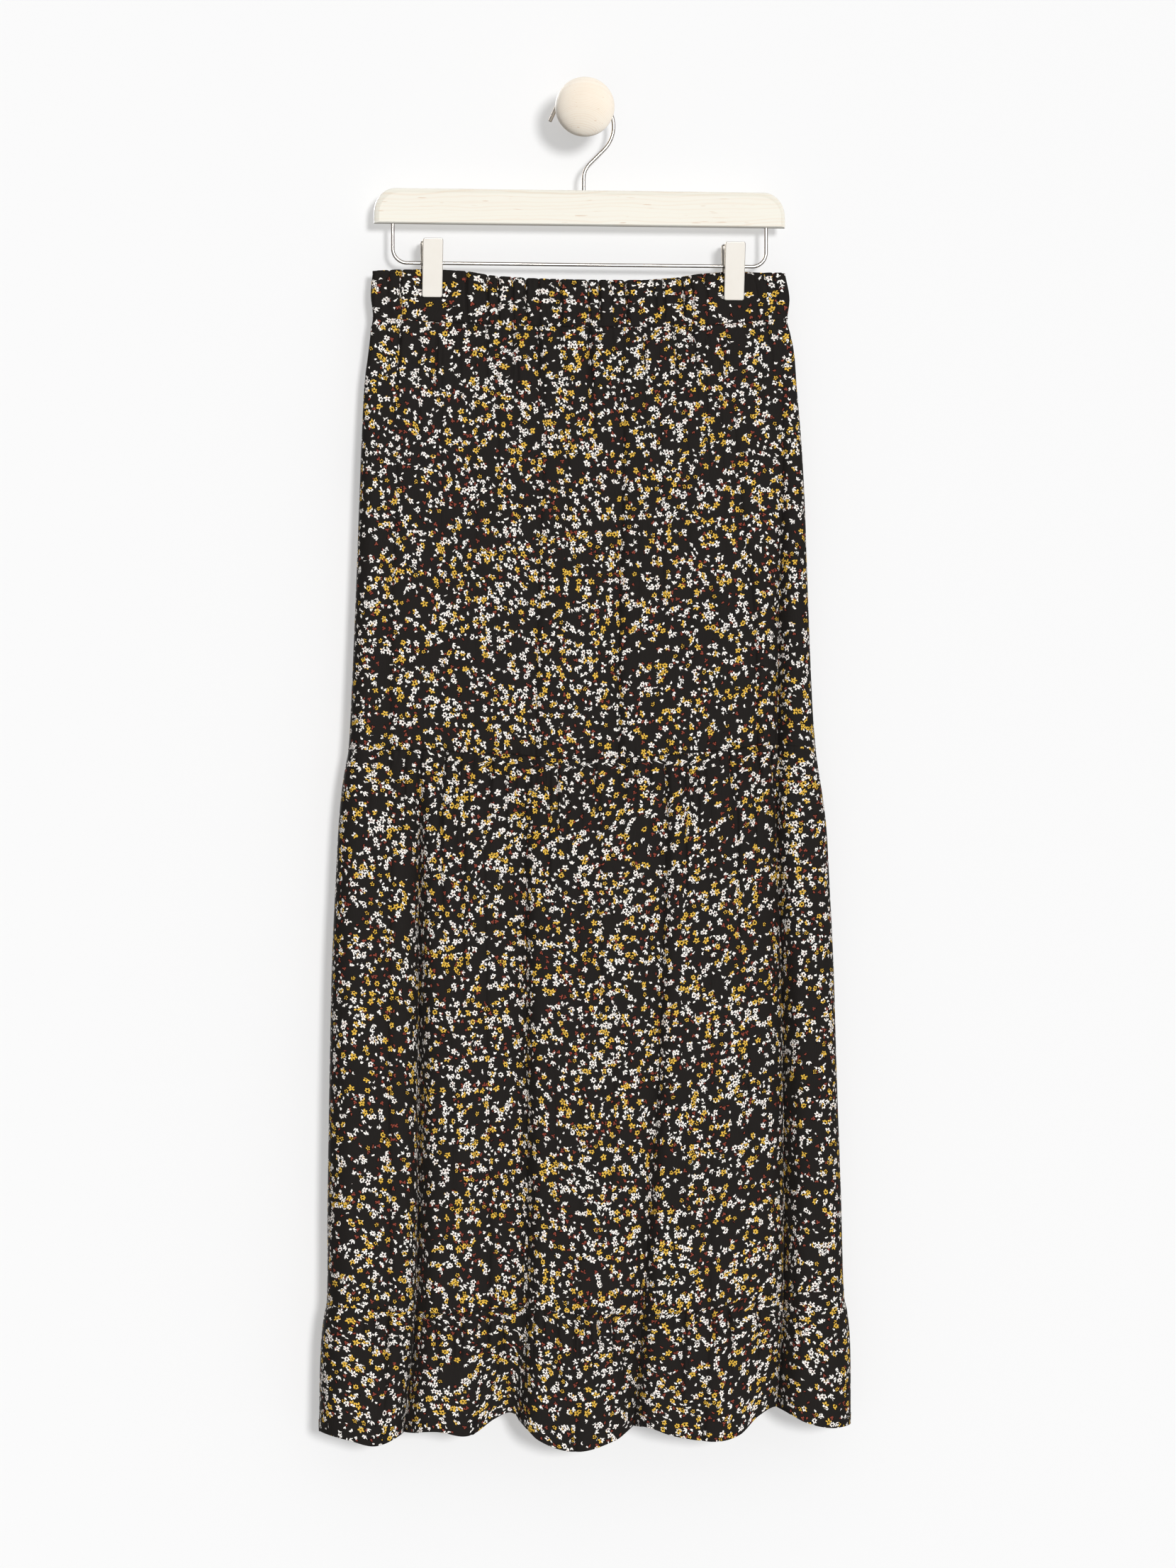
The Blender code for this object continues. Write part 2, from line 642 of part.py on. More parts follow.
def add_hook(finish):
    """The hook: a straight tip, the crook over the knob's stem, and a bent neck."""
    crook = (0.0, CROOK_CENTRE_Z)
    meet = math.radians(CROOK_MEET_ANGLE)
    tip_centre = (crook[0] + (CROOK_RADIUS - CROOK_TIP_RADIUS) * math.cos(meet),
                  crook[1] + (CROOK_RADIUS - CROOK_TIP_RADIUS) * math.sin(meet))
    tip_arc = arc(tip_centre, CROOK_TIP_RADIUS, CROOK_TIP_ANGLE, CROOK_MEET_ANGLE, 6)
    tip = math.radians(CROOK_TIP_ANGLE)
    along_tip = Vector((-math.sin(tip), 0, math.cos(tip)))
    points = [tip_arc[0] + along_tip * CROOK_TIP_LENGTH]
    points += tip_arc
    points += arc(crook, CROOK_RADIUS, CROOK_MEET_ANGLE, -NECK_LEAN, 12)[1:]
    lean = math.radians(NECK_LEAN)
    neck_centre_x = HOOK_SHANK_X + NECK_RADIUS
    start_x = neck_centre_x - NECK_RADIUS * math.cos(lean)
    leave = points[-1]
    drop = (leave.x - start_x) / math.tan(lean)
    neck_centre = (neck_centre_x, leave.z - drop - NECK_RADIUS * math.sin(lean))
    points += arc(neck_centre, NECK_RADIUS, 180 - NECK_LEAN, 180, 5)
    points.append(Vector((HOOK_SHANK_X, HANGER_Y, BAR_TOP + TOUCH_GAP)))
    return add_wire("hanger_hook", points, WIRE_RADIUS, finish)


def add_rod(finish):
    """The clip rod: a wire bent down from the bar at each end and straight between."""
    top = BAR_BOTTOM - TOUCH_GAP
    inside = ROD_HALF_WIDTH - ROD_CORNER_RADIUS
    level = ROD_Z + ROD_CORNER_RADIUS
    points = [Vector((-ROD_HALF_WIDTH, HANGER_Y, top))]
    points += arc((-inside, level), ROD_CORNER_RADIUS, 180, 270, 5)
    points += arc((inside, level), ROD_CORNER_RADIUS, 270, 360, 5)
    points.append(Vector((ROD_HALF_WIDTH, HANGER_Y, top)))
    return add_wire("clip_rod", points, WIRE_RADIUS, finish)


def add_clip_plate(name, centre_x, sign, finish):
    """One pressed plate of a clip: a channel whose flanges point at the other plate."""
    bm = bmesh.new()
    sections = []
    for station in CLIP_STATIONS:
        rise = station.rise * MM
        half = CLIP_WIDTH / 2 - station.narrowing * MM
        reach = CLIP_SHEET + station.flange * MM
        corner = half - CLIP_CHAMFER
        channel = [(-half, reach), (-half, CLIP_CHAMFER), (-corner, 0), (corner, 0),
                   (half, CLIP_CHAMFER), (half, reach), (half - CLIP_SHEET, reach),
                   (half - CLIP_SHEET, CLIP_SHEET), (-half + CLIP_SHEET, CLIP_SHEET),
                   (-half + CLIP_SHEET, reach)]
        outside = CLIP_TIP_INSIDE + CLIP_SHEET + CLIP_SPREAD * rise
        sections.append([bm.verts.new((centre_x + across, HANGER_Y + sign * (outside - depth),
                                       CLIP_TIP_Z + rise)) for across, depth in channel])
    for low, high in zip(sections, sections[1:]):
        for index in range(len(low)):
            after = (index + 1) % len(low)
            bm.faces.new((low[index], low[after], high[after], high[index]))
    bm.faces.new(sections[0])
    bm.faces.new(sections[-1])
    return add_bmesh(name, bm, finish, crease_angle=50)


def add_spring(name, centre_x, finish):
    """The clip's spring: a coil round the rod, with a leg up to each plate."""
    leg_end = CLIP_TIP_INSIDE + CLIP_SPREAD * (ROD_Z + SPRING_LEG_RISE - CLIP_TIP_Z)
    leg_end -= SPRING_WIRE_RADIUS + SPRING_LEG_ROOM + TOUCH_GAP
    length = SPRING_TURNS * SPRING_PITCH
    points = [Vector((centre_x - length / 2 - SPRING_PITCH / 2, HANGER_Y - leg_end,
                      ROD_Z + SPRING_LEG_RISE))]
    for step in range(SPRING_TURNS * SPRING_STEPS + SPRING_STEPS // 2 + 1):
        turn = math.tau * step / SPRING_STEPS
        points.append(Vector((centre_x - length / 2 + SPRING_PITCH * step / SPRING_STEPS,
                              HANGER_Y - SPRING_COIL_RADIUS * math.cos(turn),
                              ROD_Z - SPRING_COIL_RADIUS * math.sin(turn))))
    last = points[-1]
    points.append(Vector((last.x + SPRING_PITCH / 2, HANGER_Y + leg_end,
                          ROD_Z + SPRING_LEG_RISE)))
    return add_wire(name, points, SPRING_WIRE_RADIUS, finish, sides=6)


def main():
    for old in list(bpy.data.objects):
        bpy.data.objects.remove(old)
    cloth = material("printed viscose", CLOTH_BLACK, 0.85)
    wood = material("maple wood", WOOD_PALE, 0.6)
    steel = material("polished steel wire", STEEL_GREY, 0.25, 1.0)
    clip_metal = material("satin nickel", CLIP_SILVER, 0.4, 0.8)
    add_knob(wood)
    add_bar(wood)
    add_hook(steel)
    add_rod(steel)
    for hand, centre_x in CLIP_CENTRES.items():
        add_clip_plate(f"clip_{hand}_front", centre_x, -1, clip_metal)
        add_clip_plate(f"clip_{hand}_back", centre_x, 1, clip_metal)
        add_spring(f"clip_{hand}_spring", centre_x, steel)
    for ring in RINGS:
        for side in FOLDS:
            add_panel(ring, side, cloth)


main()
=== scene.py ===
"""The looks of a tiered maxi skirt, clipped to a wooden hanger on a wall knob.

Places are in the frame's metres: the wall is y = 0, the skirt's front faces -Y and +Z is
up. The tables of the skirt's form hold millimetres, and MM turns them into metres.
"""

import bisect
import itertools
import math
from collections import namedtuple
from functools import partial

import bmesh
import bpy
from mathutils import Matrix, Vector, noise


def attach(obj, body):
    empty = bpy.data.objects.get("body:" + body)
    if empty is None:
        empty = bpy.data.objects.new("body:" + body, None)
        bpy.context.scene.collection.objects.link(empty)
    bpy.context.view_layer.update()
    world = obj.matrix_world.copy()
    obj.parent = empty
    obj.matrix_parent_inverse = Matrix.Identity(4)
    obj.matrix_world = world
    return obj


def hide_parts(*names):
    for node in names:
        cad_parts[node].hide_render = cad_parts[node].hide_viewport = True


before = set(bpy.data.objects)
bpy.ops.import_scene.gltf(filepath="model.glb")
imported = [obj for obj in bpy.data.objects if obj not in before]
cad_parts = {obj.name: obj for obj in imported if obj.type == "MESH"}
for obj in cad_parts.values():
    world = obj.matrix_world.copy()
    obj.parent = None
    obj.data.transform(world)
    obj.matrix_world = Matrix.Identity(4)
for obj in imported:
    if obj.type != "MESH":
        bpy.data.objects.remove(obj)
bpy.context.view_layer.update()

MM = 0.001
SIDES = ("front", "back")

# ---- the hanger and the knob, in metres ----------------------------------------------

KNOB_BALL_RADIUS = 25 * MM
KNOB_BALL_CENTRE_Y = -60 * MM
KNOB_STEM_RADIUS = 15 * MM

HANGER_Y = -25 * MM
TOUCH_GAP = 0.3 * MM

BAR_LENGTH = 350 * MM
BAR_THICKNESS = 13 * MM
BAR_TOP = -66.5 * MM
BAR_BOTTOM = -96.5 * MM
BAR_SHOULDER_WIDTH = 18.5 * MM
BAR_SHOULDER_HEIGHT = 21 * MM
BAR_TOP_ROUND = 4.0 * MM
BAR_BOTTOM_ROUND = 1.2 * MM
BAR_ROUND_DEPTH = 5.0 * MM
BAR_ROUND_START = 20
BAR_ROUND_STEPS = 9
BAR_CRISP_ANGLE = 13

WIRE_RADIUS = 1.5 * MM
HOOK_SHANK_X = 3 * MM
CROOK_RADIUS = 28.5 * MM
CROOK_CENTRE_Z = KNOB_STEM_RADIUS + TOUCH_GAP + WIRE_RADIUS - CROOK_RADIUS
CROOK_TIP_RADIUS = 20.2 * MM
CROOK_TIP_LENGTH = 14.3 * MM
CROOK_TIP_ANGLE = 156
CROOK_MEET_ANGLE = 100
NECK_RADIUS = 18.4 * MM
NECK_LEAN = 45

ROD_HALF_WIDTH = 159 * MM
ROD_CORNER_RADIUS = 12 * MM
ROD_Z = -129.4 * MM

CLIP_CENTRES = {"left": -126 * MM, "right": 131 * MM}
CLIP_TIP_Z = -158.5 * MM
CLIP_HEIGHT = 49 * MM
CLIP_WIDTH = 17.2 * MM
CLIP_SHEET = 1.0 * MM
CLIP_FLANGE = 3.0 * MM
CLIP_TIP_INSIDE = 2.9 * MM
CLIP_SPREAD = math.tan(math.radians(12))

SPRING_COIL_RADIUS = 2.7 * MM
SPRING_WIRE_RADIUS = 0.7 * MM
SPRING_TURNS = 4
SPRING_PITCH = 2.2 * MM
SPRING_STEPS = 20
SPRING_LEG_RISE = 13 * MM
SPRING_LEG_ROOM = 0.21 * MM

# ---- the form of the skirt, in millimetres -------------------------------------------

SIDE_REACH = 0.9

# The side seams' places at each height, from the waist down to the hem.
Outline = namedtuple("Outline", "z left right")
OUTLINE = [Outline(*row) for row in (
    (-134, -175.5, 175.0), (-156, -177.6, 179.2), (-175, -175.8, 177.2),
    (-186, -177.6, 179.8), (-203, -179.4, 183.2), (-230, -182.9, 185.0),
    (-280, -185.6, 189.0), (-330, -187.6, 191.6), (-400, -190.2, 193.8),
    (-500, -194.6, 197.6), (-541, -197.0, 200.6), (-556, -199.9, 202.6),
    (-576, -202.8, 205.8), (-605, -205.4, 209.4), (-650, -207.8, 211.8),
    (-720, -211.0, 215.2), (-820, -213.2, 218.0), (-920, -214.8, 221.4),
    (-1003, -215.4, 223.8), (-1018, -218.3, 226.8), (-1045, -220.8, 229.0),
    (-1112, -222.2, 229.2),
)]

# How far the tube's middle stands from the wall, and half of its thickness.
Bulk = namedtuple("Bulk", "z middle half")
BULK = [Bulk(*row) for row in (
    (-134, -25.0, 5.0), (-180, -25.0, 6.0), (-240, -26.5, 9.5), (-330, -28.5, 12.5),
    (-545, -32.0, 16.0), (-800, -35.5, 20.0), (-1005, -37.5, 23.0), (-1130, -39.5, 26.0),
)]

# Between the clips the waist stands open, and at each clip it is pressed flat.
MOUTH_EDGE_HALF = 4.0
MOUTH_OPENING = 5.5
MOUTH_SPAN = 180.0
PINCH_HALF = 2.3
PINCH_FLAT = 11.0
PINCH_REACH = 33.0
PINCH_FADE = 120.0
GATHER_PINCH_FADE = 48.0
BAND_END_Z = -175.0

# The heights of the seams across the front, from the left side seam to the right one.
Seam = namedtuple("Seam", "x waist band_seam upper_seam lower_seam hem")
SEAMS = [Seam(*row) for row in (
    (-224, -137.0, -175.8, -540.0, -1006.0, -1111.0),
    (-200, -137.0, -175.8, -540.0, -1007.0, -1117.0),
    (-176, -137.0, -175.8, -540.3, -1008.5, -1122.5),
    (-150, -135.6, -177.2, -540.2, -1010.5, -1113.0),
    (-126, -134.6, -178.8, -540.6, -1012.5, -1111.0),
    (-98, -136.6, -180.2, -542.8, -1012.0, -1115.0),
    (-76, -140.0, -181.4, -543.5, -1009.0, -1101.0),
    (-60, -141.2, -181.8, -544.0, -1008.5, -1097.5),
    (-40, -142.4, -182.3, -546.3, -1010.0, -1119.0),
    (-8, -143.2, -182.7, -548.6, -1014.5, -1129.5),
    (26, -143.2, -182.5, -547.6, -1015.5, -1121.0),
    (47, -142.8, -182.2, -546.3, -1015.6, -1109.5),
    (75, -142.0, -181.4, -544.4, -1015.2, -1117.5),
    (110, -138.2, -179.5, -541.4, -1011.0, -1122.5),
    (131, -135.6, -177.6, -539.2, -1005.0, -1117.0),
    (147, -135.2, -176.0, -537.2, -1001.5, -1102.0),
    (164, -135.0, -174.4, -535.8, -999.0, -1095.5),
    (186, -135.0, -173.2, -537.4, -998.0, -1107.0),
    (208, -135.0, -172.4, -538.4, -997.6, -1112.5),
    (230, -135.0, -172.4, -539.0, -997.6, -1111.0),
)]

# Hanging folds. Each has a width to its left and its right, of which the narrow one is the
# steep side, and is followed down through five heights: its place across, and how deep it
# goes in.
UPPER_HEIGHTS = (-180, -300, -430, -545, -615)
LOWER_HEIGHTS = (-545, -615, -800, -1005, -1130)
Fold = namedtuple("Fold", "left right x depth")
FRONT_UPPER_FOLDS = [
    Fold(18, 3, x=(-164, -157, -162, -163, -163), depth=(0.5, 2.5, 3.0, 3.0, 0)),
    Fold(14, 3, x=(-90, -90, -91, -92, -93), depth=(1.2, 1.4, 0.8, 0.6, 0)),
    Fold(26, 3.6, x=(-32, -33, -38, -40, -41), depth=(1.5, 2.5, 3.5, 4.0, 0)),
    Fold(30, 3, x=(36, 35.5, 31.5, 30.5, 30), depth=(2.5, 4.0, 5.0, 5.5, 0)),
    Fold(14, 3.6, x=(88, 90, 92, 93, 93), depth=(0.8, 1.2, 1.0, 1.0, 0)),
    Fold(20, 3, x=(127, 133, 146.5, 149, 150), depth=(0.5, 2.0, 3.5, 3.5, 0)),
    Fold(15, 2.4, x=(172, 172, 170, 168.5, 167), depth=(0, 5.0, 12.5, 13.0, 0)),
]
FRONT_LOWER_FOLDS = [
    Fold(14, 3, x=(-161, -162, -165, -164.5, -172), depth=(0, 2.5, 3.0, 3.0, 2.0)),
    Fold(17, 3, x=(-137, -136.5, -136.5, -139, -151), depth=(0, 13.5, 21.0, 22.0, 23.0)),
    Fold(14, 3, x=(-84.6, -84, -82, -81, -98), depth=(0, 1.5, 2.5, 3.0, 3.0)),
    Fold(30, 3, x=(-49, -48, -47, -47, -55), depth=(0, 8.0, 13.5, 15.0, 21.0)),
    Fold(12, 3.6, x=(-6, -5, -4, -5, -8), depth=(0, 1.0, 1.5, 2.0, 3.0)),
    Fold(36, 3, x=(73, 71, 65, 52, 43), depth=(0, 6.0, 9.5, 14.0, 21.0)),
    Fold(14, 8, x=(108, 108, 107, 106, 100), depth=(0, 1.6, 1.0, 2.0, 3.5)),
    Fold(24, 3, x=(165.5, 168, 173.5, 173.5, 165), depth=(0, 13.5, 21.5, 23.0, 22.0)),
    Fold(6, 8, x=(201, 204, 206, 208, 210), depth=(0, 1.5, 2.0, 2.0, 2.0)),
]
BACK_UPPER_FOLDS = [
    Fold(3, 20, x=(-150, -148, -145, -146, -146), depth=(0.6, 2.5, 4.0, 4.5, 0)),
    Fold(14, 3.6, x=(-96, -96, -97, -98, -98), depth=(1.2, 1.4, 1.5, 1.5, 0)),
    Fold(3.6, 26, x=(-52, -50, -46, -44, -44), depth=(2.0, 3.5, 4.5, 5.0, 0)),
    Fold(12, 12, x=(4, 6, 8, 9, 9), depth=(1.0, 1.5, 2.0, 2.0, 0)),
    Fold(3, 24, x=(62, 64, 69, 72, 72), depth=(1.0, 3.0, 4.5, 5.0, 0)),
    Fold(16, 3, x=(150, 152, 155, 156, 156), depth=(0.5, 2.0, 3.5, 4.0, 0)),
]
BACK_LOWER_FOLDS = [
    Fold(8, 6, x=(-198, -201, -203, -205, -208), depth=(0, 1.5, 2.0, 2.0, 2.0)),
    Fold(3, 26, x=(-168, -168, -166, -164, -160), depth=(0, 7.0, 10.0, 12.0, 15.0)),
    Fold(14, 3, x=(-112, -112, -110, -108, -106), depth=(0, 2.0, 2.5, 3.0, 4.0)),
    Fold(3, 32, x=(-82, -81, -79, -80, -76), depth=(0, 6.0, 10.0, 12.0, 15.0)),
    Fold(14, 3.6, x=(-12, -12, -14, -15, -18), depth=(0, 2.0, 2.0, 2.5, 4.0)),
    Fold(3, 34, x=(24, 25, 27, 30, 34), depth=(0, 7.0, 11.0, 12.0, 16.0)),
    Fold(14, 3, x=(98, 98, 100, 101, 104), depth=(0, 2.0, 2.0, 3.0, 4.0)),
    Fold(3, 28, x=(128, 129, 132, 136, 142), depth=(0, 6.5, 10.0, 12.0, 15.0)),
    Fold(6, 8, x=(200, 203, 204, 206, 208), depth=(0, 1.5, 2.0, 2.0, 2.0)),
]
FOLDS_START_Z = -174.0
FOLDS_GROW = 45.0

# The profile across a fold: the reach of its steep side, which widens with depth, the crest
# beside it, the broad side as a share of its width, and how far the whole leans over.
STEEP_REACH = 2.6
STEEP_WIDEN = 0.12
BROAD_SHARE = 0.42
CREST_SHARE = 0.3
CREST_REACH = 15.0
LEAN = 0.07
LEAN_REACH = 6.0
LEAN_UNDER = 2.5

# Gathers: the cloth bulges between narrow tucks, whose places across the seam are listed.
# The bulge is as high as stitched at the seam, as peak a little below it, and as end once it
# has faded. Half is the half width of the seam that the tucks lie along.
Gather = namedtuple("Gather", "stitched peak fade end half phase tucks")
GATHERS = {
    "waistband": Gather(2.5, 3.1, 60, 1.9, 173, 0.0, (
        -163, -152, -143, -135, -121, -106, -97, -88, -79, -70, -58, -47, -36, -27, -18,
        -6, 6, 15, 25, 38, 52, 63, 70, 78, 87, 95, 107, 118, 129, 140, 149, 158, 166)),
    "tier_1": Gather(1.6, 2.7, 70, 0.2, 173, 0.0, (
        -163, -152, -135, -121, -106, -97, -79, -70, -58, -36, -18, 6, 25, 38, 52, 63, 78, 95,
        107, 118, 140, 149, 158, 167)),
    "tier_2": Gather(1.3, 2.9, 80, 0.2, 184, 1.7, (
        -176, -162, -150, -137, -126, -117, -104, -94, -78, -66, -57, -45, -33, -22, -14,
        -3, 9, 21, 34, 42, 55, 68, 80, 88, 101, 113, 122, 134, 147, 158, 166, 177)),
    "flounce": Gather(1.4, 3.0, 46, 0.7, 199, 3.1, (
        -188, -177, -168, -152, -139, -128, -119, -106, -92, -84, -71, -60, -46, -38, -27,
        -12, -3, 7, 20, 33, 43, 56, 70, 81, 89, 104, 118, 127, 141, 150, 162, 174, 185)),
}
GATHER_RISE = 10.0
GATHER_SETTLE = 1.6
TUCK_POWER = 6.0
CREST = 0.5
TUCK_DEPTH = 0.62
TUCK_VARIETY = 0.65
TUCK_DEPTH_LIMITS = (0.12, 1.1)
TUCK_LEAST_LENGTH = 0.25
# Two beats that don't meet: their step, the turns of the phase and their share.
UNEVEN_BEATS = ((2.399, 1, 0.6), (0.81, 2, 0.4))

# Creases, one by one: soft troughs (depth above 0) and ridges (below 0) that run down a
# panel.
# Each fades in over a share of its length, and out over another.
Crease = namedtuple("Crease", "top bottom x_top x_bottom width depth")
CREASES = {side: [Crease(*row) for row in rows] for side, rows in {
    "front": (
        (-178, -330, -139, -136, 4.0, 0.9), (-182, -420, -118, -121, 5.0, 0.8),
        (-180, -262, -104, -101, 3.0, 0.9), (-182, -520, -70, -74, 5.5, 0.9),
        (-186, -300, -55, -52, 3.5, 1.0), (-184, -468, -14, -10, 5.0, 0.8),
        (-182, -350, 8, 12, 4.0, 1.0), (-181, -290, 55, 52, 3.4, 0.9),
        (-182, -540, 66, 70, 5.5, 0.9), (-180, -330, 106, 108, 3.8, 0.9),
        (-178, -470, 117, 124, 5.0, 0.7), (-176, -300, 152, 156, 4.0, 0.8),
        (-330, -541, -108, -112, 6.0, -0.7), (-300, -541, -16, -18, 6.0, -0.8),
        (-290, -538, 50, 48, 5.0, -0.8), (-380, -537, 115, 118, 6.0, -0.7),
        (-547, -690, -187, -190, 4.0, 1.3), (-545, -640, -150, -153, 3.0, 1.4),
        (-545, -760, -121, -118, 4.0, 1.5), (-545, -655, -110, -106, 2.6, 1.2),
        (-546, -850, -100, -103, 5.0, 1.3), (-548, -640, -66, -64, 3.0, 1.5),
        (-550, -720, -28, -30, 4.0, 1.5), (-550, -650, -16, -13, 2.6, 1.2),
        (-550, -880, 13, 16, 5.0, 1.4), (-548, -660, 34, 33, 3.2, 1.4),
        (-546, -740, 86, 88, 4.0, 1.5), (-543, -650, 97, 99, 2.6, 1.2),
        (-540, -800, 130, 134, 4.6, 1.4), (-538, -660, 146, 147, 3.0, 1.4),
        (-540, -700, 188, 192, 3.6, 1.3), (-760, -1005, -190, -194, 6.0, -1.0),
        (-740, -1008, -112, -108, 7.0, -1.2), (-800, -1010, -24, -22, 7.0, -1.2),
        (-780, -1012, 26, 20, 7.0, 1.2), (-820, -1010, 88, 84, 6.0, -1.1),
        (-760, -1002, 138, 140, 7.0, 1.0), (-1012, -1090, -196, -199, 3.4, 1.6),
        (-1014, -1075, -178, -180, 2.8, 1.5), (-1015, -1095, -122, -126, 3.4, 1.7),
        (-1015, -1068, -110, -111, 2.6, 1.4), (-1012, -1090, -70, -76, 3.4, 1.7),
        (-1014, -1110, -24, -20, 4.0, 1.8), (-1018, -1085, 4, 8, 3.0, 1.6),
        (-1019, -1100, 36, 30, 3.4, 1.6), (-1018, -1110, 84, 82, 4.0, 1.8),
        (-1014, -1080, 122, 124, 3.0, 1.6), (-1006, -1075, 148, 146, 3.0, 1.5),
        (-1001, -1090, 196, 199, 3.4, 1.6),
    ),
    "back": (
        (-178, -360, -128, -124, 4.4, 0.9), (-180, -300, -116, -118, 3.2, 0.9),
        (-182, -500, -76, -72, 5.5, 0.9), (-184, -330, -18, -16, 4.0, 1.0),
        (-184, -450, 30, 34, 5.0, 0.9), (-182, -310, 46, 44, 3.4, 0.9),
        (-182, -520, 96, 100, 5.5, 0.9), (-180, -340, 124, 128, 4.0, 0.9),
        (-320, -540, -20, -22, 6.0, -0.8), (-340, -540, 110, 114, 6.0, -0.8),
        (-545, -700, -188, -190, 4.0, 1.4), (-546, -650, -132, -130, 3.0, 1.4),
        (-547, -820, -58, -60, 5.0, 1.4), (-548, -660, -36, -34, 3.0, 1.4),
        (-549, -760, 2, 4, 4.2, 1.5), (-548, -650, 62, 60, 3.0, 1.4),
        (-547, -860, 78, 82, 5.0, 1.4), (-544, -660, 112, 110, 3.0, 1.3),
        (-544, -720, 178, 182, 4.0, 1.4), (-780, -1005, -136, -132, 7.0, -1.1),
        (-800, -1010, 60, 64, 7.0, -1.2), (-1012, -1085, -190, -193, 3.2, 1.6),
        (-1014, -1095, -128, -126, 3.4, 1.7), (-1015, -1080, -46, -44, 3.0, 1.6),
        (-1017, -1105, 4, 0, 4.0, 1.8), (-1018, -1085, 70, 72, 3.0, 1.6),
        (-1016, -1095, 114, 110, 3.4, 1.7), (-1008, -1080, 188, 190, 3.2, 1.6),
    ),
}.items()}
# A crease is steeper on its right side, and ends a few of its widths from its line.
CREASE_STEEPNESS = 2.4
CREASE_SPAN = 3.0
CREASE_FADE_IN, CREASE_FADE_OUT = 0.08, 0.55
CREASE_CORE = 1.3
CREASE_CORE_DEPTH = 0.8

# Each ring of the skirt: its edges, the heights of the folds that its columns follow, the
# grid of its shell (rows between those set near the edges), and its cut (flat width of one
# panel, flat height).
Ring = namedtuple("Ring", "name top bottom folds columns rows cut_width cut_height")
RINGS = [
    Ring("waistband", "waist", "band_seam", None, 600, 4, 520, 40),
    Ring("tier_1", "band_seam", "upper_seam", UPPER_HEIGHTS, 600, 30, 520, 367),
    Ring("tier_2", "upper_seam", "lower_seam", LOWER_HEIGHTS, 700, 42, 640, 475),
    Ring("flounce", "lower_seam", "hem", LOWER_HEIGHTS, 720, 16, 720, 117),
]
NEXT_RING = {"waistband": "tier_1", "tier_1": "tier_2", "tier_2": "flounce"}

# How the columns of a shell are spread, so that the deep folds keep theirs down the skirt.
CORNER_COLUMNS = 12
DEEP_FOLD = 3.4
LEAST_STEP = 1.5
NOMINAL_HALF_WIDTH = 212
REFERENCE_SHARES = (0.25, 0.5, 0.75, 0.95)
FINE_STEPS = 1600
EDGE_EASE = 18

# The cloth at its edges: what is turned in, how a seam rolls, and the hem's step.
CLOTH_THICKNESS = 0.45
SEAM_ALLOWANCE = 3.5
SEAM_APART = 0.5
SEAM_ROLL = 1.0
SEAM_ROLL_HEIGHT = 1.1
HEM_TURN = 9.0
HEM_DEPTH = 1.1
HEM_STEP = 0.35
HEM_STEP_HEIGHT = 1.5
EDGE_ROWS = (0.0, 0.5, 1.1, 2.2, 4.0, 7.0, 8.6, 9.4, 12.0)

# The small relief: the waist's ruffle, puckers along the seams, and unevenness all over.
RUFFLE_HEIGHT = 1.0
RUFFLE_SHARE = 0.25
SMALL_PUCKERS = 71
SMALL_PUCKER_HEIGHT = 0.35
SMALL_PUCKER_FADE = 16.0
PUCKER_SHIFT, PUCKER_SHIFT_BEAT = 2, 41
UNEVENNESS = 0.55
UNEVEN_WIDTH, UNEVEN_HEIGHT = 34, 120
FINER_UNEVENNESS, FINER_SHARE = 3.1, 0.35
RING_SEED, BACK_SEED = 7.3, 3.1

# The map of the cut cloth: what the gathers take up in width, and the panels' distance.
FINE_GATHERS = 1.1
CUT_GAP = 900.0
CUT_MAP = "cut"

RowFrame = namedtuple(
    "RowFrame", "share left right z_left z_right face_left face_right line")

# ---- the print and the weave, in millimetres of cloth --------------------------------

# Motifs keep to drifts. They are bent by a wobble, outlined, and blush towards the middle.
CELL_JITTER = 0.85
DRIFT_MM = 12.0
DRIFT_PULL = 0.5
WOBBLE_MM = 1.7
WOBBLE_REACH_MM = 1.6
MOTIF_STRETCH = (0.9, 1.12, 1.0)
OUT_OF_REACH = 50.0
TWO_TONE_TILT = (-4.4, 4.0)
EDGE_MM = 0.12
BLUSH_INSIDE_MM = 1.1
BLUSH_BLUR_MM = 3 * EDGE_MM
MOTIF_OUTLINE_MM = 0.66

# Slubs are a yarn wide and a few millimetres long, in both directions of the weave.
YARN_MM = 0.9
SLUB_MM = 7.0
WEFT_SHIFT = 40.0
SLUB_RANGE = (0.7, 1.3)
SLUB_SHADE = (0.94, 1.06)
WEAVE_BUMP_MM = 0.05

# ---- the wood: how often its figure repeats in a metre, along and across the grain -----

WOOD_SWAY = (9.0, 42.0, 42.0)
WOOD_FIBRE = (60.0, 1500.0, 1500.0)
WOOD_DASHES = (70.0, 1000.0, 1000.0)
# How far a growth ring wanders and how soon it changes, in rings, and the shares of it all.
RING_WANDER = 4.5
RING_CHANGE = 0.35
LATE_WOOD_POWER = 7.0
LATE_WOOD_SHARE = 0.6
FIBRE_SHARE = 0.35
CLOUD_SCALE = 0.7
CLOUD_SHARE = 0.55
WOOD_TONES = (0.42, 1.25)
DASH_EDGES = (0.79, 0.84)
DASH_STRENGTH = 0.5
GRAIN_BUMP_MM = 0.004

# ---- the metals: repeats in a metre, and roughness from spot to spot ------------------

WIRE_HAZE = 60.0
WIRE_ROUGHNESS = (0.30, 0.36)
CLIP_CLOUD = 110.0
CLIP_GRIT = 4200.0
CLIP_ROUGHNESS = (0.46, 0.54)
GRIT_BUMP_MM = 0.01

# ---- finer sizes of the hard pieces, in metres, and the steps of their rounds ---------

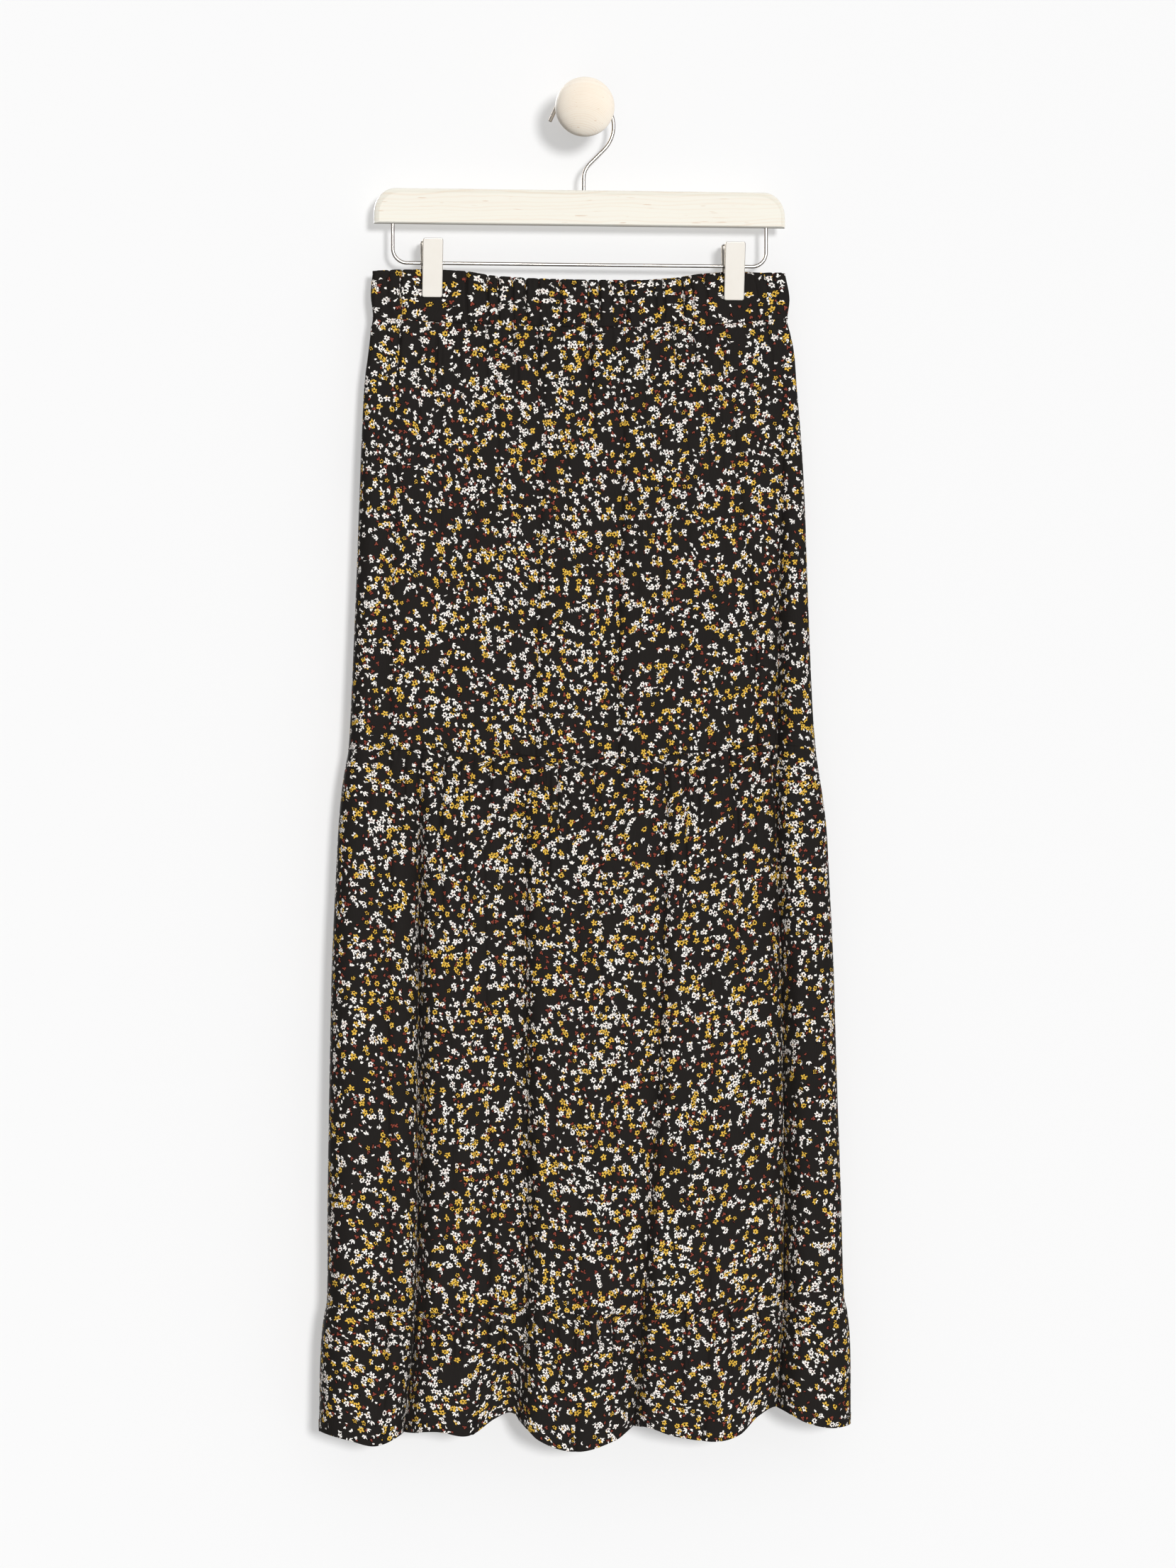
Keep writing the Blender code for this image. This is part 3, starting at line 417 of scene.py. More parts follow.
SAME_PLACE = 0.01 * MM
KNOB_EASED_EDGE = 0.6 * MM
KNOB_PROFILE_STEPS = 60
KNOB_SPIN_STEPS = 96
KNOB_CRISP_ANGLE = 35
SHOULDER_STEPS = 22
WIRE_ROUND_STEPS = 6
TIP_STEPS, CROOK_STEPS, NECK_STEPS, CORNER_STEPS = 20, 44, 16, 16
HOOK_SINK = 2.0 * MM
CLIP_CORNER_ROUND = 2.0 * MM
CLIP_CORNER_STEPS = 6
CLIP_EDGE_ROUND = 0.7 * MM
CLIP_EDGE_STEPS = 4
CLIP_CRISP_ANGLE = 50
CLIP_TIP_FLANGE = 0.35
CLIP_TIP_HEIGHT = 6 * MM
CLIP_WIDENING = 14 * MM

# ---- stage, light and camera ---------------------------------------------------------

WALL_BEHIND = 0.5 * MM
WALL_GLOW = 0.36
FLOOR_Z = -1.75
STAGE_HALF = 6.0
# The room's light: its strength from in front and behind, then shares for the other ways.
ROOM_FRONT, ROOM_BACK = 0.46, 0.34
ROOM_LEFT_RIGHT = (0.75, 1.05)
ROOM_LOW_HIGH = (0.75, 1.10)
# The windows' lights: the way that each comes from, its angle and its power.
WINDOWS = {"window": ((0.54, -3.5, 0.45), 10.0, 2.2),
           "back window": ((-1.1, 3.5, 0.9), 16.0, 1.9)}
CARD_PLACE = (-0.7, -3.0, -1.3)
CARD_TOWARD = (0.0, 1.0, 0.4)
CARD_SIZE = 1.1
CARD_POWER = 2.6
CAMERA_AZIMUTH = -6.5
CAMERA_DISTANCE = 4.5
CAMERA_AIM = (6.7 * MM, HANGER_Y, -0.569)
SENSOR_MM = 36.0
LENS_MM = 122.0
FARTHEST_SEEN = 50.0


# ---- small helpers -------------------------------------------------------------------

def clamp(value, low=0.0, high=1.0):
    return max(low, min(high, value))


def smooth(value):
    """Ease from 0 to 1 as value goes from 0 to 1."""
    value = clamp(value)
    return value * value * (3 - 2 * value)


def mix(start, end, share):
    return start + (end - start) * share


class Track:
    """A smooth curve through values at places, level beyond its ends."""

    def __init__(self, places, values):
        pairs = sorted(zip(places, values))
        self.places = [place for place, _ in pairs]
        self.values = [value for _, value in pairs]
        last = len(pairs) - 1
        self.slopes = []
        for index in range(len(pairs)):
            before, after = max(index - 1, 0), min(index + 1, last)
            rise = self.values[after] - self.values[before]
            self.slopes.append(rise / (self.places[after] - self.places[before]))

    def __call__(self, at):
        if at <= self.places[0]:
            return self.values[0]
        if at >= self.places[-1]:
            return self.values[-1]
        index = bisect.bisect_right(self.places, at) - 1
        step = self.places[index + 1] - self.places[index]
        share = (at - self.places[index]) / step
        square, cube = share * share, share * share * share
        return ((2 * cube - 3 * square + 1) * self.values[index]
                + (cube - 2 * square + share) * self.slopes[index] * step
                + (3 * square - 2 * cube) * self.values[index + 1]
                + (cube - square) * self.slopes[index + 1] * step)


def track(table, field):
    return Track([row[0] for row in table], [getattr(row, field) for row in table])


# ---- the form of the skirt -----------------------------------------------------------

LEFT_EDGE = track(OUTLINE, "left")
RIGHT_EDGE = track(OUTLINE, "right")
MIDDLE = track(BULK, "middle")
HALF = track(BULK, "half")
EDGES = {name: track(SEAMS, name) for name in Seam._fields[1:]}
FoldLine = namedtuple("FoldLine", "fold heights place_at depth_at")
FOLDS = {
    side: [FoldLine(fold, heights, Track(heights, fold.x), Track(heights, fold.depth))
           for table, heights in ((upper, UPPER_HEIGHTS), (lower, LOWER_HEIGHTS))
           for fold in table]
    for side, upper, lower in (("front", FRONT_UPPER_FOLDS, FRONT_LOWER_FOLDS),
                               ("back", BACK_UPPER_FOLDS, BACK_LOWER_FOLDS))
}


def seam_height(edge, x, side):
    """Height of a seam at x. The back's seams run as the front's seen in a mirror, ends
    joined. The hem dips and rises in step all round."""
    line = EDGES[edge]
    if side == "front" or edge == "hem":
        return line(x)
    left, right = SEAMS[0].x, SEAMS[-1].x
    share = (x - left) / (right - left)
    ends_apart = line(left) - line(right)
    return line(left + right - x) + ends_apart * (1 - 2 * share)


def pinch(x):
    """1 under a clip, 0 away from the clips."""
    nearest = min(abs(x - centre / MM) for centre in CLIP_CENTRES.values())
    return 1 - smooth((nearest - PINCH_FLAT) / (PINCH_REACH - PINCH_FLAT))


def pinch_at(x, z):
    """The clips' pinch, fading below the waistband."""
    return pinch(x) * (1 - smooth((BAND_END_Z - z) / GATHER_PINCH_FADE))


def half_thickness(x, z):
    """Half of the tube's thickness: the open mouth and the clips' pinch, then the bulk."""
    opening = math.cos(math.pi * clamp(x / MOUTH_SPAN, -0.5, 0.5)) ** 2
    mouth = mix(MOUTH_EDGE_HALF + MOUTH_OPENING * opening, PINCH_HALF, pinch(x))
    return mix(mouth, HALF(z), smooth((BAND_END_Z - z) / PINCH_FADE))


def folds_at(side, x, z):
    """How far the folds draw the cloth inwards at a point, and how far they lean it across.

    A fold is deepest at its place. Its steep side rises fast to a crest that bulges a little,
    and its broad side comes slowly back.
    """
    inwards, over = 0.0, 0.0
    for line in FOLDS[side]:
        depth = line.depth_at(z)
        if depth <= 0:
            continue
        fold = line.fold
        facing = 1 if fold.left > fold.right else -1
        aside = (x - line.place_at(z)) * facing
        if aside > 0:
            reach = STEEP_REACH + STEEP_WIDEN * depth
            form = ((1 + CREST_SHARE) * math.exp(-aside / reach)
                    - CREST_SHARE * math.exp(-aside / CREST_REACH))
            lean = math.exp(-aside / LEAN_REACH)
        else:
            broad = BROAD_SHARE * max(fold.left, fold.right)
            form = math.exp(aside / broad)
            lean = math.exp(aside / LEAN_UNDER)
        inwards += depth * form
        over -= facing * LEAN * depth * lean
    grown = smooth((FOLDS_START_Z - z) / FOLDS_GROW)
    return inwards * grown, over * grown


def crease_depth(side, x, z):
    """The listed creases: each fades in and out along its length."""
    total = 0.0
    for crease in CREASES[side]:
        if crease.bottom < z < crease.top:
            along = (crease.top - z) / (crease.top - crease.bottom)
            aside = x - mix(crease.x_top, crease.x_bottom, along)
            away = aside / crease.width * (CREASE_STEEPNESS if aside > 0 else 1.0)
            if abs(away) < CREASE_SPAN:
                ends = smooth(along / CREASE_FADE_IN) * smooth((1 - along) / CREASE_FADE_OUT)
                core = CREASE_CORE_DEPTH * clamp(1 - abs(aside) / CREASE_CORE)
                total += crease.depth * ends * (math.exp(-away * away) + core)
    return total


def uneven(number, phase):
    """A steady irregularity from -1 to 1, so that no two gathers are alike."""
    return sum(math.sin(number * beat + turns * phase) * share
               for beat, turns, share in UNEVEN_BEATS)


def tuck_line(gather):
    """The tucks of a ring: their places across from 0 to 1, and how deep each one is."""
    places, depths = [0.0], [0.0]
    for number, place in enumerate(gather.tucks):
        places.append(0.5 + place / (2 * gather.half))
        depth = TUCK_DEPTH + TUCK_VARIETY * uneven(number, gather.phase)
        depths.append(clamp(depth, *TUCK_DEPTH_LIMITS))
    return places + [1.0], depths + [0.0]


def gather_wave(found, share, below=0.0, fade=1.0):
    """The height of the gathers at a share across: bulges, between tucks that fade lower
    down, the deepest last."""
    places, depths = found
    index = min(max(bisect.bisect_right(places, share) - 1, 0), len(places) - 2)
    along = (share - places[index]) / (places[index + 1] - places[index])
    depth = depths[index] if along < 0.5 else depths[index + 1]
    depth *= 1 - smooth((below - GATHER_RISE) / (fade * (TUCK_LEAST_LENGTH + depth)))
    return CREST - 2 * depth * abs(2 * along - 1) ** TUCK_POWER


def gather_height(gather, below):
    """Height of a ring's gathers at a distance below its upper seam."""
    rise = mix(gather.stitched, gather.peak, smooth(below / GATHER_RISE))
    settled = smooth((below - GATHER_RISE) / (GATHER_SETTLE * gather.fade))
    return mix(rise, gather.end, settled)


class Panel:
    """One cut panel of the skirt, as a surface over columns across and shares down."""

    def __init__(self, ring, side):
        self.ring, self.side = ring, side
        self.sign = -1 if side == "front" else 1
        self.gather = GATHERS[ring.name]
        self.tucks = tuck_line(self.gather)
        after = GATHERS.get(NEXT_RING.get(ring.name))
        self.next_gather = after
        self.next_tucks = tuck_line(after) if after else None
        self.seed = RINGS.index(ring) * RING_SEED + (BACK_SEED if side == "back" else 0.0)
        self.anchors = [line for line in FOLDS[side]
                        if line.heights == ring.folds and max(line.fold.depth) >= DEEP_FOLD]
        self.home = self.anchor_line([line.fold.x[2] for line in self.anchors],
                                     -NOMINAL_HALF_WIDTH, NOMINAL_HALF_WIDTH)
        self.spread_columns()

    def anchor_line(self, places, left, right):
        """Rising places across: the face's edges, and the three lines of each deep fold."""
        line = [left]
        for place, anchor in zip(places, self.anchors):
            for mark in (place - anchor.fold.left, place, place + anchor.fold.right):
                line.append(max(mark, line[-1] + LEAST_STEP))
        return line + [max(right, line[-1] + LEAST_STEP)]

    def spread_columns(self):
        """Sets the columns at even steps along the cloth, so that folds get their share."""
        frames = [self.row_frame(share) for share in REFERENCE_SHARES]
        fine = [mix(-NOMINAL_HALF_WIDTH, NOMINAL_HALF_WIDTH, step / FINE_STEPS)
                for step in range(FINE_STEPS + 1)]
        lengths = [0.0] * (FINE_STEPS + 1)
        for row in frames:
            before = None
            for index, home in enumerate(fine):
                x = self.across_at(home, row)
                here = self.plain_form(x, self.height(x, row.share))
                if before:
                    lengths[index] += math.dist(before, here) / len(frames)
                before = here
        run = list(itertools.accumulate(lengths))
        face_columns = self.ring.columns - 2 * CORNER_COLUMNS
        self.homes, index = [], 0
        for step in range(face_columns + 1):
            wanted = run[-1] * step / face_columns
            while index < FINE_STEPS - 1 and run[index + 1] < wanted:
                index += 1
            along = (wanted - run[index]) / max(run[index + 1] - run[index], 1e-9)
            self.homes.append(mix(fine[index], fine[index + 1], clamp(along)))

    def row_frame(self, share):
        """What is the same all along one row: its share down, side edges and anchor line."""
        z = self.height(0, share)
        z_left, z_right = z, z
        for _ in range(2):
            z_left = self.height(LEFT_EDGE(z_left), share)
            z_right = self.height(RIGHT_EDGE(z_right), share)
        left, right = LEFT_EDGE(z_left), RIGHT_EDGE(z_right)
        face_left = left + SIDE_REACH * half_thickness(left, z_left)
        face_right = right - SIDE_REACH * half_thickness(right, z_right)
        places = [anchor.place_at(z) for anchor in self.anchors]
        line = self.anchor_line(places, face_left, face_right)
        return RowFrame(share, left, right, z_left, z_right, face_left, face_right, line)

    def across_at(self, home, row):
        """The place across, at this row, of the column whose nominal place is home."""
        index = min(max(bisect.bisect_right(self.home, home) - 1, 0), len(self.home) - 2)
        share = (home - self.home[index]) / (self.home[index + 1] - self.home[index])
        return mix(row.line[index], row.line[index + 1], share)

    def plain_form(self, x, z):
        """A point of the tube in plan, with its folds and without its relief."""
        return x, half_thickness(x, z) - folds_at(self.side, x, z)[0]

    def height(self, x, share):
        top = seam_height(self.ring.top, x, self.side)
        bottom = seam_height(self.ring.bottom, x, self.side)
        return mix(top, bottom, share)

    def relief(self, x, z, across):
        """What stands out from the tube's plain form: gathers, creases, seams and hem."""
        below = seam_height(self.ring.top, x, self.side) - z
        above = z - seam_height(self.ring.bottom, x, self.side)
        out = gather_wave(self.tucks, across, below, self.gather.fade)
        out *= gather_height(self.gather, below)
        if self.next_gather:
            near = 1 - smooth(above / GATHER_RISE)
            stitched = gather_wave(self.next_tucks, across) * self.next_gather.stitched
            out = mix(out, stitched, near)
        shift = PUCKER_SHIFT * math.sin(across * PUCKER_SHIFT_BEAT + self.seed)
        ripple = math.sin(across * SMALL_PUCKERS * math.tau + shift)
        nearest = min(below, above) if self.next_gather else below
        out += ripple * SMALL_PUCKER_HEIGHT * math.exp(-nearest / SMALL_PUCKER_FADE)
        spot = Vector((x / UNEVEN_WIDTH, z / UNEVEN_HEIGHT, self.seed))
        finer = noise.noise(spot * FINER_UNEVENNESS) * UNEVENNESS * FINER_SHARE
        out += noise.noise(spot) * UNEVENNESS + finer
        out -= crease_depth(self.side, x, z)
        out *= 1 - pinch_at(x, z)
        if self.ring.top != "waist":
            out -= SEAM_ROLL * (1 - smooth(below / SEAM_ROLL_HEIGHT))
        if self.ring.bottom != "hem":
            out -= SEAM_ROLL * (1 - smooth(above / SEAM_ROLL_HEIGHT))
        else:
            out += HEM_STEP * (1 - smooth((above - HEM_TURN) / HEM_STEP_HEIGHT))
        return out

    def point(self, column, row):
        """A point of the outer face. column runs from 0 to ring.columns, left to right."""
        last = self.ring.columns
        if column < CORNER_COLUMNS or column > last - CORNER_COLUMNS:
            on_left = column < CORNER_COLUMNS
            steps = column if on_left else last - column
            turn = math.pi / 2 * steps / CORNER_COLUMNS
            edge_x, edge_z = (row.left, row.z_left) if on_left else (row.right, row.z_right)
            half = half_thickness(edge_x, edge_z)
            inwards = SIDE_REACH * half * (1 - math.cos(turn))
            x = edge_x + inwards if on_left else edge_x - inwards
            z = self.height(x, row.share)
            return Vector((x, MIDDLE(z) + self.sign * half * math.sin(turn), z))
        x = self.across_at(self.homes[column - CORNER_COLUMNS], row)
        across = (x - row.face_left) / (row.face_right - row.face_left)
        z = self.height(x, row.share)
        inwards, over = folds_at(self.side, x, z)
        out = half_thickness(x, z) - inwards
        ease = smooth(across * EDGE_EASE) * smooth((1 - across) * EDGE_EASE)
        out += self.relief(x, z, across) * ease
        if self.ring.top == "waist":
            rise = 1 - smooth(row.share / RUFFLE_SHARE)
            z += RUFFLE_HEIGHT * gather_wave(self.tucks, across) * rise * (1 - pinch(x))
        return Vector((x + over, MIDDLE(z) + self.sign * out, z))

    def cut_across(self, points):
        """Places on the cut cloth along a row: its length and a share for the gathers."""
        face = points[CORNER_COLUMNS:-CORNER_COLUMNS]
        plain = [self.plain_form(point.x, point.z) for point in face]
        length = sum(math.dist(*pair) for pair in zip(plain, plain[1:]))
        if self.ring.top != "waist":
            length *= FINE_GATHERS
        steps = [0.0] + [math.dist(*pair) for pair in zip(points, points[1:])]
        scale = length / sum(math.dist(*pair) for pair in zip(face, face[1:]))
        run = list(itertools.accumulate(step * scale for step in steps))
        return [place - run[-1] / 2 for place in run]

    def row_shares(self):
        """Rows at set distances from both edges, and even steps between them."""
        near = [gap / self.ring.cut_height for gap in EDGE_ROWS]
        between = [mix(near[-1], 1 - near[-1], step / self.ring.rows)
                   for step in range(1, self.ring.rows)]
        return near + between + [1 - share for share in reversed(near)]

    def grid(self):
        """Rows of points and their places on the cut cloth, with what is turned in."""
        rows, cut_rows = [], []
        for share in self.row_shares():
            row = self.row_frame(share)
            points = [self.point(column, row) for column in range(self.ring.columns + 1)]
            rows.append(points)
            cut_rows.append([(across, share * self.ring.cut_height)
                             for across in self.cut_across(points)])
        for index, way, turned in ((0, -1, self.ring.top == "waist"),
                                   (-1, 1, self.ring.bottom == "hem")):
            depth = HEM_DEPTH if turned else SEAM_ALLOWANCE
            inwards = Vector((0, -self.sign * depth, way * HEM_TURN if turned else 0.0))
            past = way * (HEM_TURN if turned else SEAM_ALLOWANCE)
            at = len(rows) if index else 0
            rows.insert(at, [point + inwards for point in rows[index]])
            cut_rows.insert(at, [(across, down + past) for across, down in cut_rows[index]])
        for row, cut in zip(rows, cut_rows):
            row.insert(0, row[0] + Vector((SEAM_ALLOWANCE, self.sign * SEAM_APART, 0)))
            row.append(row[-1] + Vector((-SEAM_ALLOWANCE, self.sign * SEAM_APART, 0)))
            cut.insert(0, (cut[0][0] - SEAM_ALLOWANCE, cut[0][1]))
            cut.append((cut[-1][0] + SEAM_ALLOWANCE, cut[-1][1]))
        return rows, cut_rows


# ---- materials -----------------------------------------------------------------------

def hex_colour(code):
    """An sRGB hex colour as linear red, green, blue and alpha."""
    channels = [int(code[start:start + 2], 16) / 255 for start in (1, 3, 5)]
    linear = [value / 12.92 if value <= 0.04045 else ((value + 0.055) / 1.055) ** 2.4
              for value in channels]
    return (*linear, 1.0)


GROUND = hex_colour("#1f1c1a")
OUTLINE_INK = hex_colour("#0c0704")
CREAM = hex_colour("#fdf8f2")
BLUSH = hex_colour("#f7e7de")
MUSTARD = hex_colour("#e6ba4a")
RUST = hex_colour("#8c4335")
WOOD_FLECK = hex_colour("#c79a6c")


def join(node, place, source):
    """Links an output, or the first output of a node, to an input of a node."""
    output = source.outputs[0] if isinstance(source, bpy.types.Node) else source
    node.id_data.links.new(output, node.inputs[place])


def add_node(tree, kind, inputs=(), **settings):
    """Adds a node. Its inputs go by place or name, and take a value, a socket or a node.

    Those of a MapRange are a value, its range from and to, and the range it is spread over.
    """
    node = tree.nodes.new("ShaderNode" + kind)
    for name, value in settings.items():
        setattr(node, name, value)
    for place, value in inputs.items() if isinstance(inputs, dict) else enumerate(inputs):
        if isinstance(value, (bpy.types.Node, bpy.types.NodeSocket)):
            join(node, place, value)
        else:
            node.inputs[place].default_value = value
    return node


def new_material(name, **sockets):
    """A material, its one Principled shader with plain values set on its own sockets, and
    what adds a node to it."""
    made = bpy.data.materials.new(name)
    made.use_nodes = True
    shader = made.node_tree.nodes["Principled BSDF"]
    for socket, value in sockets.items():
        shader.inputs[socket.replace("_", " ")].default_value = value
    return made, shader, partial(add_node, made.node_tree)


Motif = namedtuple("Motif", "place theta reach chance shown")


def scatter(add, flat, cell, shift, share):
    """One motif for each cell of a scattered print: its polar place and random numbers.

    A share of the cells is filled. They keep to drifts: a slow noise, read once for each
    cell, leaves bare ground between.
    """
    moved = add("VectorMath", [flat, shift], operation="ADD")
    cells = add("TexVoronoi", {"Vector": moved, "Scale": 1 / cell, "Randomness": CELL_JITTER},
                voronoi_dimensions="2D")
    centre = cells.outputs["Position"]
    offset = add("VectorMath", [moved, centre], operation="SUBTRACT")
    chance = add("SeparateColor", [cells.outputs["Color"]])
    angle = add("Math", [chance, math.tau], operation="MULTIPLY")
    turned = add("VectorRotate", {"Vector": offset, "Angle": angle}, rotation_type="Z_AXIS")
    longer = add("VectorMath", [turned, MOTIF_STRETCH], operation="MULTIPLY")
    place = add("SeparateXYZ", [longer])
    theta = add("Math", [place.outputs[1], place.outputs[0]], operation="ARCTAN2")
    reach = add("VectorMath", [longer], operation="LENGTH").outputs["Value"]
    home = add("VectorMath", [centre, shift], operation="SUBTRACT")
    drift = add("TexNoise", {"Vector": home, "Scale": 1 / DRIFT_MM, "Detail": 1.0},
                noise_dimensions="2D")
    luck = add("Math", [drift, DRIFT_PULL, chance.outputs[1]], operation="MULTIPLY_ADD")
    shown = add("Math", [luck, 1 + DRIFT_PULL / 2 - share], operation="GREATER_THAN")
    return Motif(place, theta, reach, chance, shown)


def petals(add, motif, count, inner, outer, point):
    """How far inside the edge of a ring of petals a point lies, in millimetres."""
    wave = add("Math", [motif.theta, count / 2], operation="MULTIPLY")
    for step in ("COSINE", "ABSOLUTE"):
        wave = add("Math", [wave], operation=step)
    wave = add("Math", [wave, point], operation="POWER")
    edge = add("MapRange", [wave, 0.0, 1.0, inner, outer])
    return add("Math", [edge, motif.reach], operation="SUBTRACT")


def leaf_fan(add, motif, spread, centre, length, width, leaves):
    """How far inside small leaves side by side in a fan a point lies, in millimetres."""
    half = spread / 2
    folded = add("Math", [motif.theta, half, -half], operation="WRAP")
    along, aside = (add("Math", [add("Math", [folded], operation=wave), motif.reach],
                        operation="MULTIPLY") for wave in ("COSINE", "SINE"))
    along = add("MapRange", {"Value": along, "From Min": centre, "From Max": centre + length},
                clamp=False)
    aside = add("Math", [aside, width], operation="DIVIDE")
    size = add("VectorMath", [add("CombineXYZ", [along, aside])], operation="LENGTH")
    inside = add("Math", [size.outputs["Value"], -width, width], operation="MULTIPLY_ADD")
    turned = add("Math", [motif.theta], operation="ABSOLUTE")
    beyond = add("Math", [turned, spread * leaves / 2], operation="GREATER_THAN")
    return add("Math", [beyond, -OUT_OF_REACH, inside], operation="MULTIPLY_ADD")


def crescent(add, motif, radius, thick, span):
    """How far inside a thin curved petal, pointed at both ends, a point lies."""
    lean = add("Math", [motif.theta, span], operation="DIVIDE")
    lean = add("Math", [lean, 2.0], operation="POWER")
    width = add("MapRange", [lean, 0.0, 1.0, thick, 0.0], clamp=False)
    away = add("Math", [motif.reach, radius], operation="SUBTRACT")
    away = add("Math", [away], operation="ABSOLUTE")
    return add("Math", [width, away], operation="SUBTRACT")


# The layers of the print, the lowest first: a shape and its sizes, the size of a cell and
# where its grid starts, the share of cells that are filled, the ink (or where a two-tone one
# turns to mustard) and the radius of a dark eye, if it has one.
Layer = namedtuple("Layer", "shape sizes cell shift share ink eye", defaults=(None,))
PRINT = [
    Layer(petals, (3, 0.1, 1.8, 1.1), 6.0, (31, 17), 0.18, RUST),
    Layer(crescent, (1.7, 0.58, 0.95), 7.4, (5, 71), 0.22, RUST),
    Layer(leaf_fan, (0.85, 2.0, 1.6, 0.62, 2), 5.4, (63, 43), 0.155, CREAM),
    Layer(leaf_fan, (0.80, 2.3, 1.7, 0.60, 3), 6.8, (11, 97), 0.165, CREAM),
    Layer(crescent, (1.7, 0.68, 1.15), 6.4, (87, 29), 0.21, CREAM),
    Layer(leaf_fan, (1.2567, 1.3, 0.58, 0.50, 5), 8.0, (47, 13), 0.14, MUSTARD),
    Layer(leaf_fan, (1.5, 1.2, 1.3, 0.8, 1), 5.8, (71, 83), 0.14, CREAM),
    Layer(petals, (5, 0.8, 3.0, 1.0), 6.7, (0, 0), 0.26, -0.3, 0.75),
    Layer(petals, (6, 1.2, 2.5, 0.8), 7.6, (23, 59), 0.20, -0.6, 0.9),
]


def printed_viscose():
    """Printed viscose challis: a soft, matt plain weave with a faint bloom at grazing angles.

    The print is a scattered ditsy flower print. Its places are millimetres of cut cloth.
    """
    made, shader, add = new_material(
        "printed_viscose_challis", Roughness=0.82, IOR=1.46, Specular_IOR_Level=0.13,
        Sheen_Weight=0.05, Sheen_Roughness=0.45, Sheen_Tint=hex_colour("#d9cfc6"))
    plain = add("VectorMath", {0: add("UVMap", uv_map=CUT_MAP), "Scale": 1 / MM},
                operation="SCALE")
    # The brush's wobble: it bends every shape a little, so that no two flowers are alike.
    wobble = add("TexNoise", {"Vector": plain, "Scale": 1 / WOBBLE_MM, "Detail": 1.0},
                 noise_dimensions="2D")
    wobble = add("VectorMath", [wobble.outputs["Color"], (0.5, 0.5, 0.5)],
                 operation="SUBTRACT")
    flat = add("VectorMath", [wobble, (WOBBLE_REACH_MM, WOBBLE_REACH_MM, 0.0), plain],
               operation="MULTIPLY_ADD")

    def coat(under, ink, value, edge, blur, shown=None):
        """Inks what is under it where a value passes an edge upwards, or downwards for a
        blur below 0, and where it is shown."""
        mask = add("MapRange", [value, edge - blur, edge + blur])
        if shown is not None:
            mask = add("Math", [mask, shown], operation="MULTIPLY")
        return add("Mix", {0: mask, 6: under, 7: ink}, data_type="RGBA").outputs[2]

    def two_tone(motif, inside, turning):
        """Cream one side and mustard the other, or all of one, as chance has it."""
        tilt = add("MapRange", [motif.chance.outputs[2], 0.0, 1.0, *TWO_TONE_TILT])
        side = add("Math", [motif.place.outputs[1], tilt], operation="SUBTRACT")
        blushed = coat(CREAM, BLUSH, inside, BLUSH_INSIDE_MM, BLUSH_BLUR_MM)
        return coat(blushed, MUSTARD, side, turning, -EDGE_MM)

    # Each motif goes over what is under it: its dark outline, then its ink with its dark eye.
    printed = GROUND
    for layer in PRINT:
        motif = scatter(add, flat, layer.cell, (*layer.shift, 0.0), layer.share)
        inside = layer.shape(add, motif, *layer.sizes)
        ink = layer.ink
        if isinstance(ink, float):
            ink = two_tone(motif, inside, ink)
        if layer.eye:
            ink = coat(ink, OUTLINE_INK, motif.reach, layer.eye, -EDGE_MM)
        printed = coat(printed, OUTLINE_INK, inside, -MOTIF_OUTLINE_MM, EDGE_MM, motif.shown)
        printed = coat(printed, ink, inside, 0.0, EDGE_MM, motif.shown)

    # Slubs: the yarns' thick places, far coarser than the weave, which is too fine to show.
    slubs = []
    for turn, shift in ((0.0, 0.0), (math.pi / 2, WEFT_SHIFT)):
        drawn = add("Mapping", {"Vector": plain, "Location": (shift, 0.0, 0.0),
                                "Rotation": (0.0, 0.0, turn),
                                "Scale": (1 / YARN_MM, 1 / SLUB_MM, 1.0)})
        slubs.append(add("TexNoise", {"Vector": drawn, "Scale": 1.0, "Detail": 2.0},
                         noise_dimensions="2D"))
    weave = add("Math", slubs, operation="ADD")
    shade = add("MapRange", [weave, *SLUB_RANGE, *SLUB_SHADE])
    shaded = add("VectorMath", {0: printed, "Scale": shade}, operation="SCALE")
    join(shader, "Base Color", shaded)
    join(shader, "Normal", add("Bump", {"Height": weave, "Distance": WEAVE_BUMP_MM * MM}))
    return made


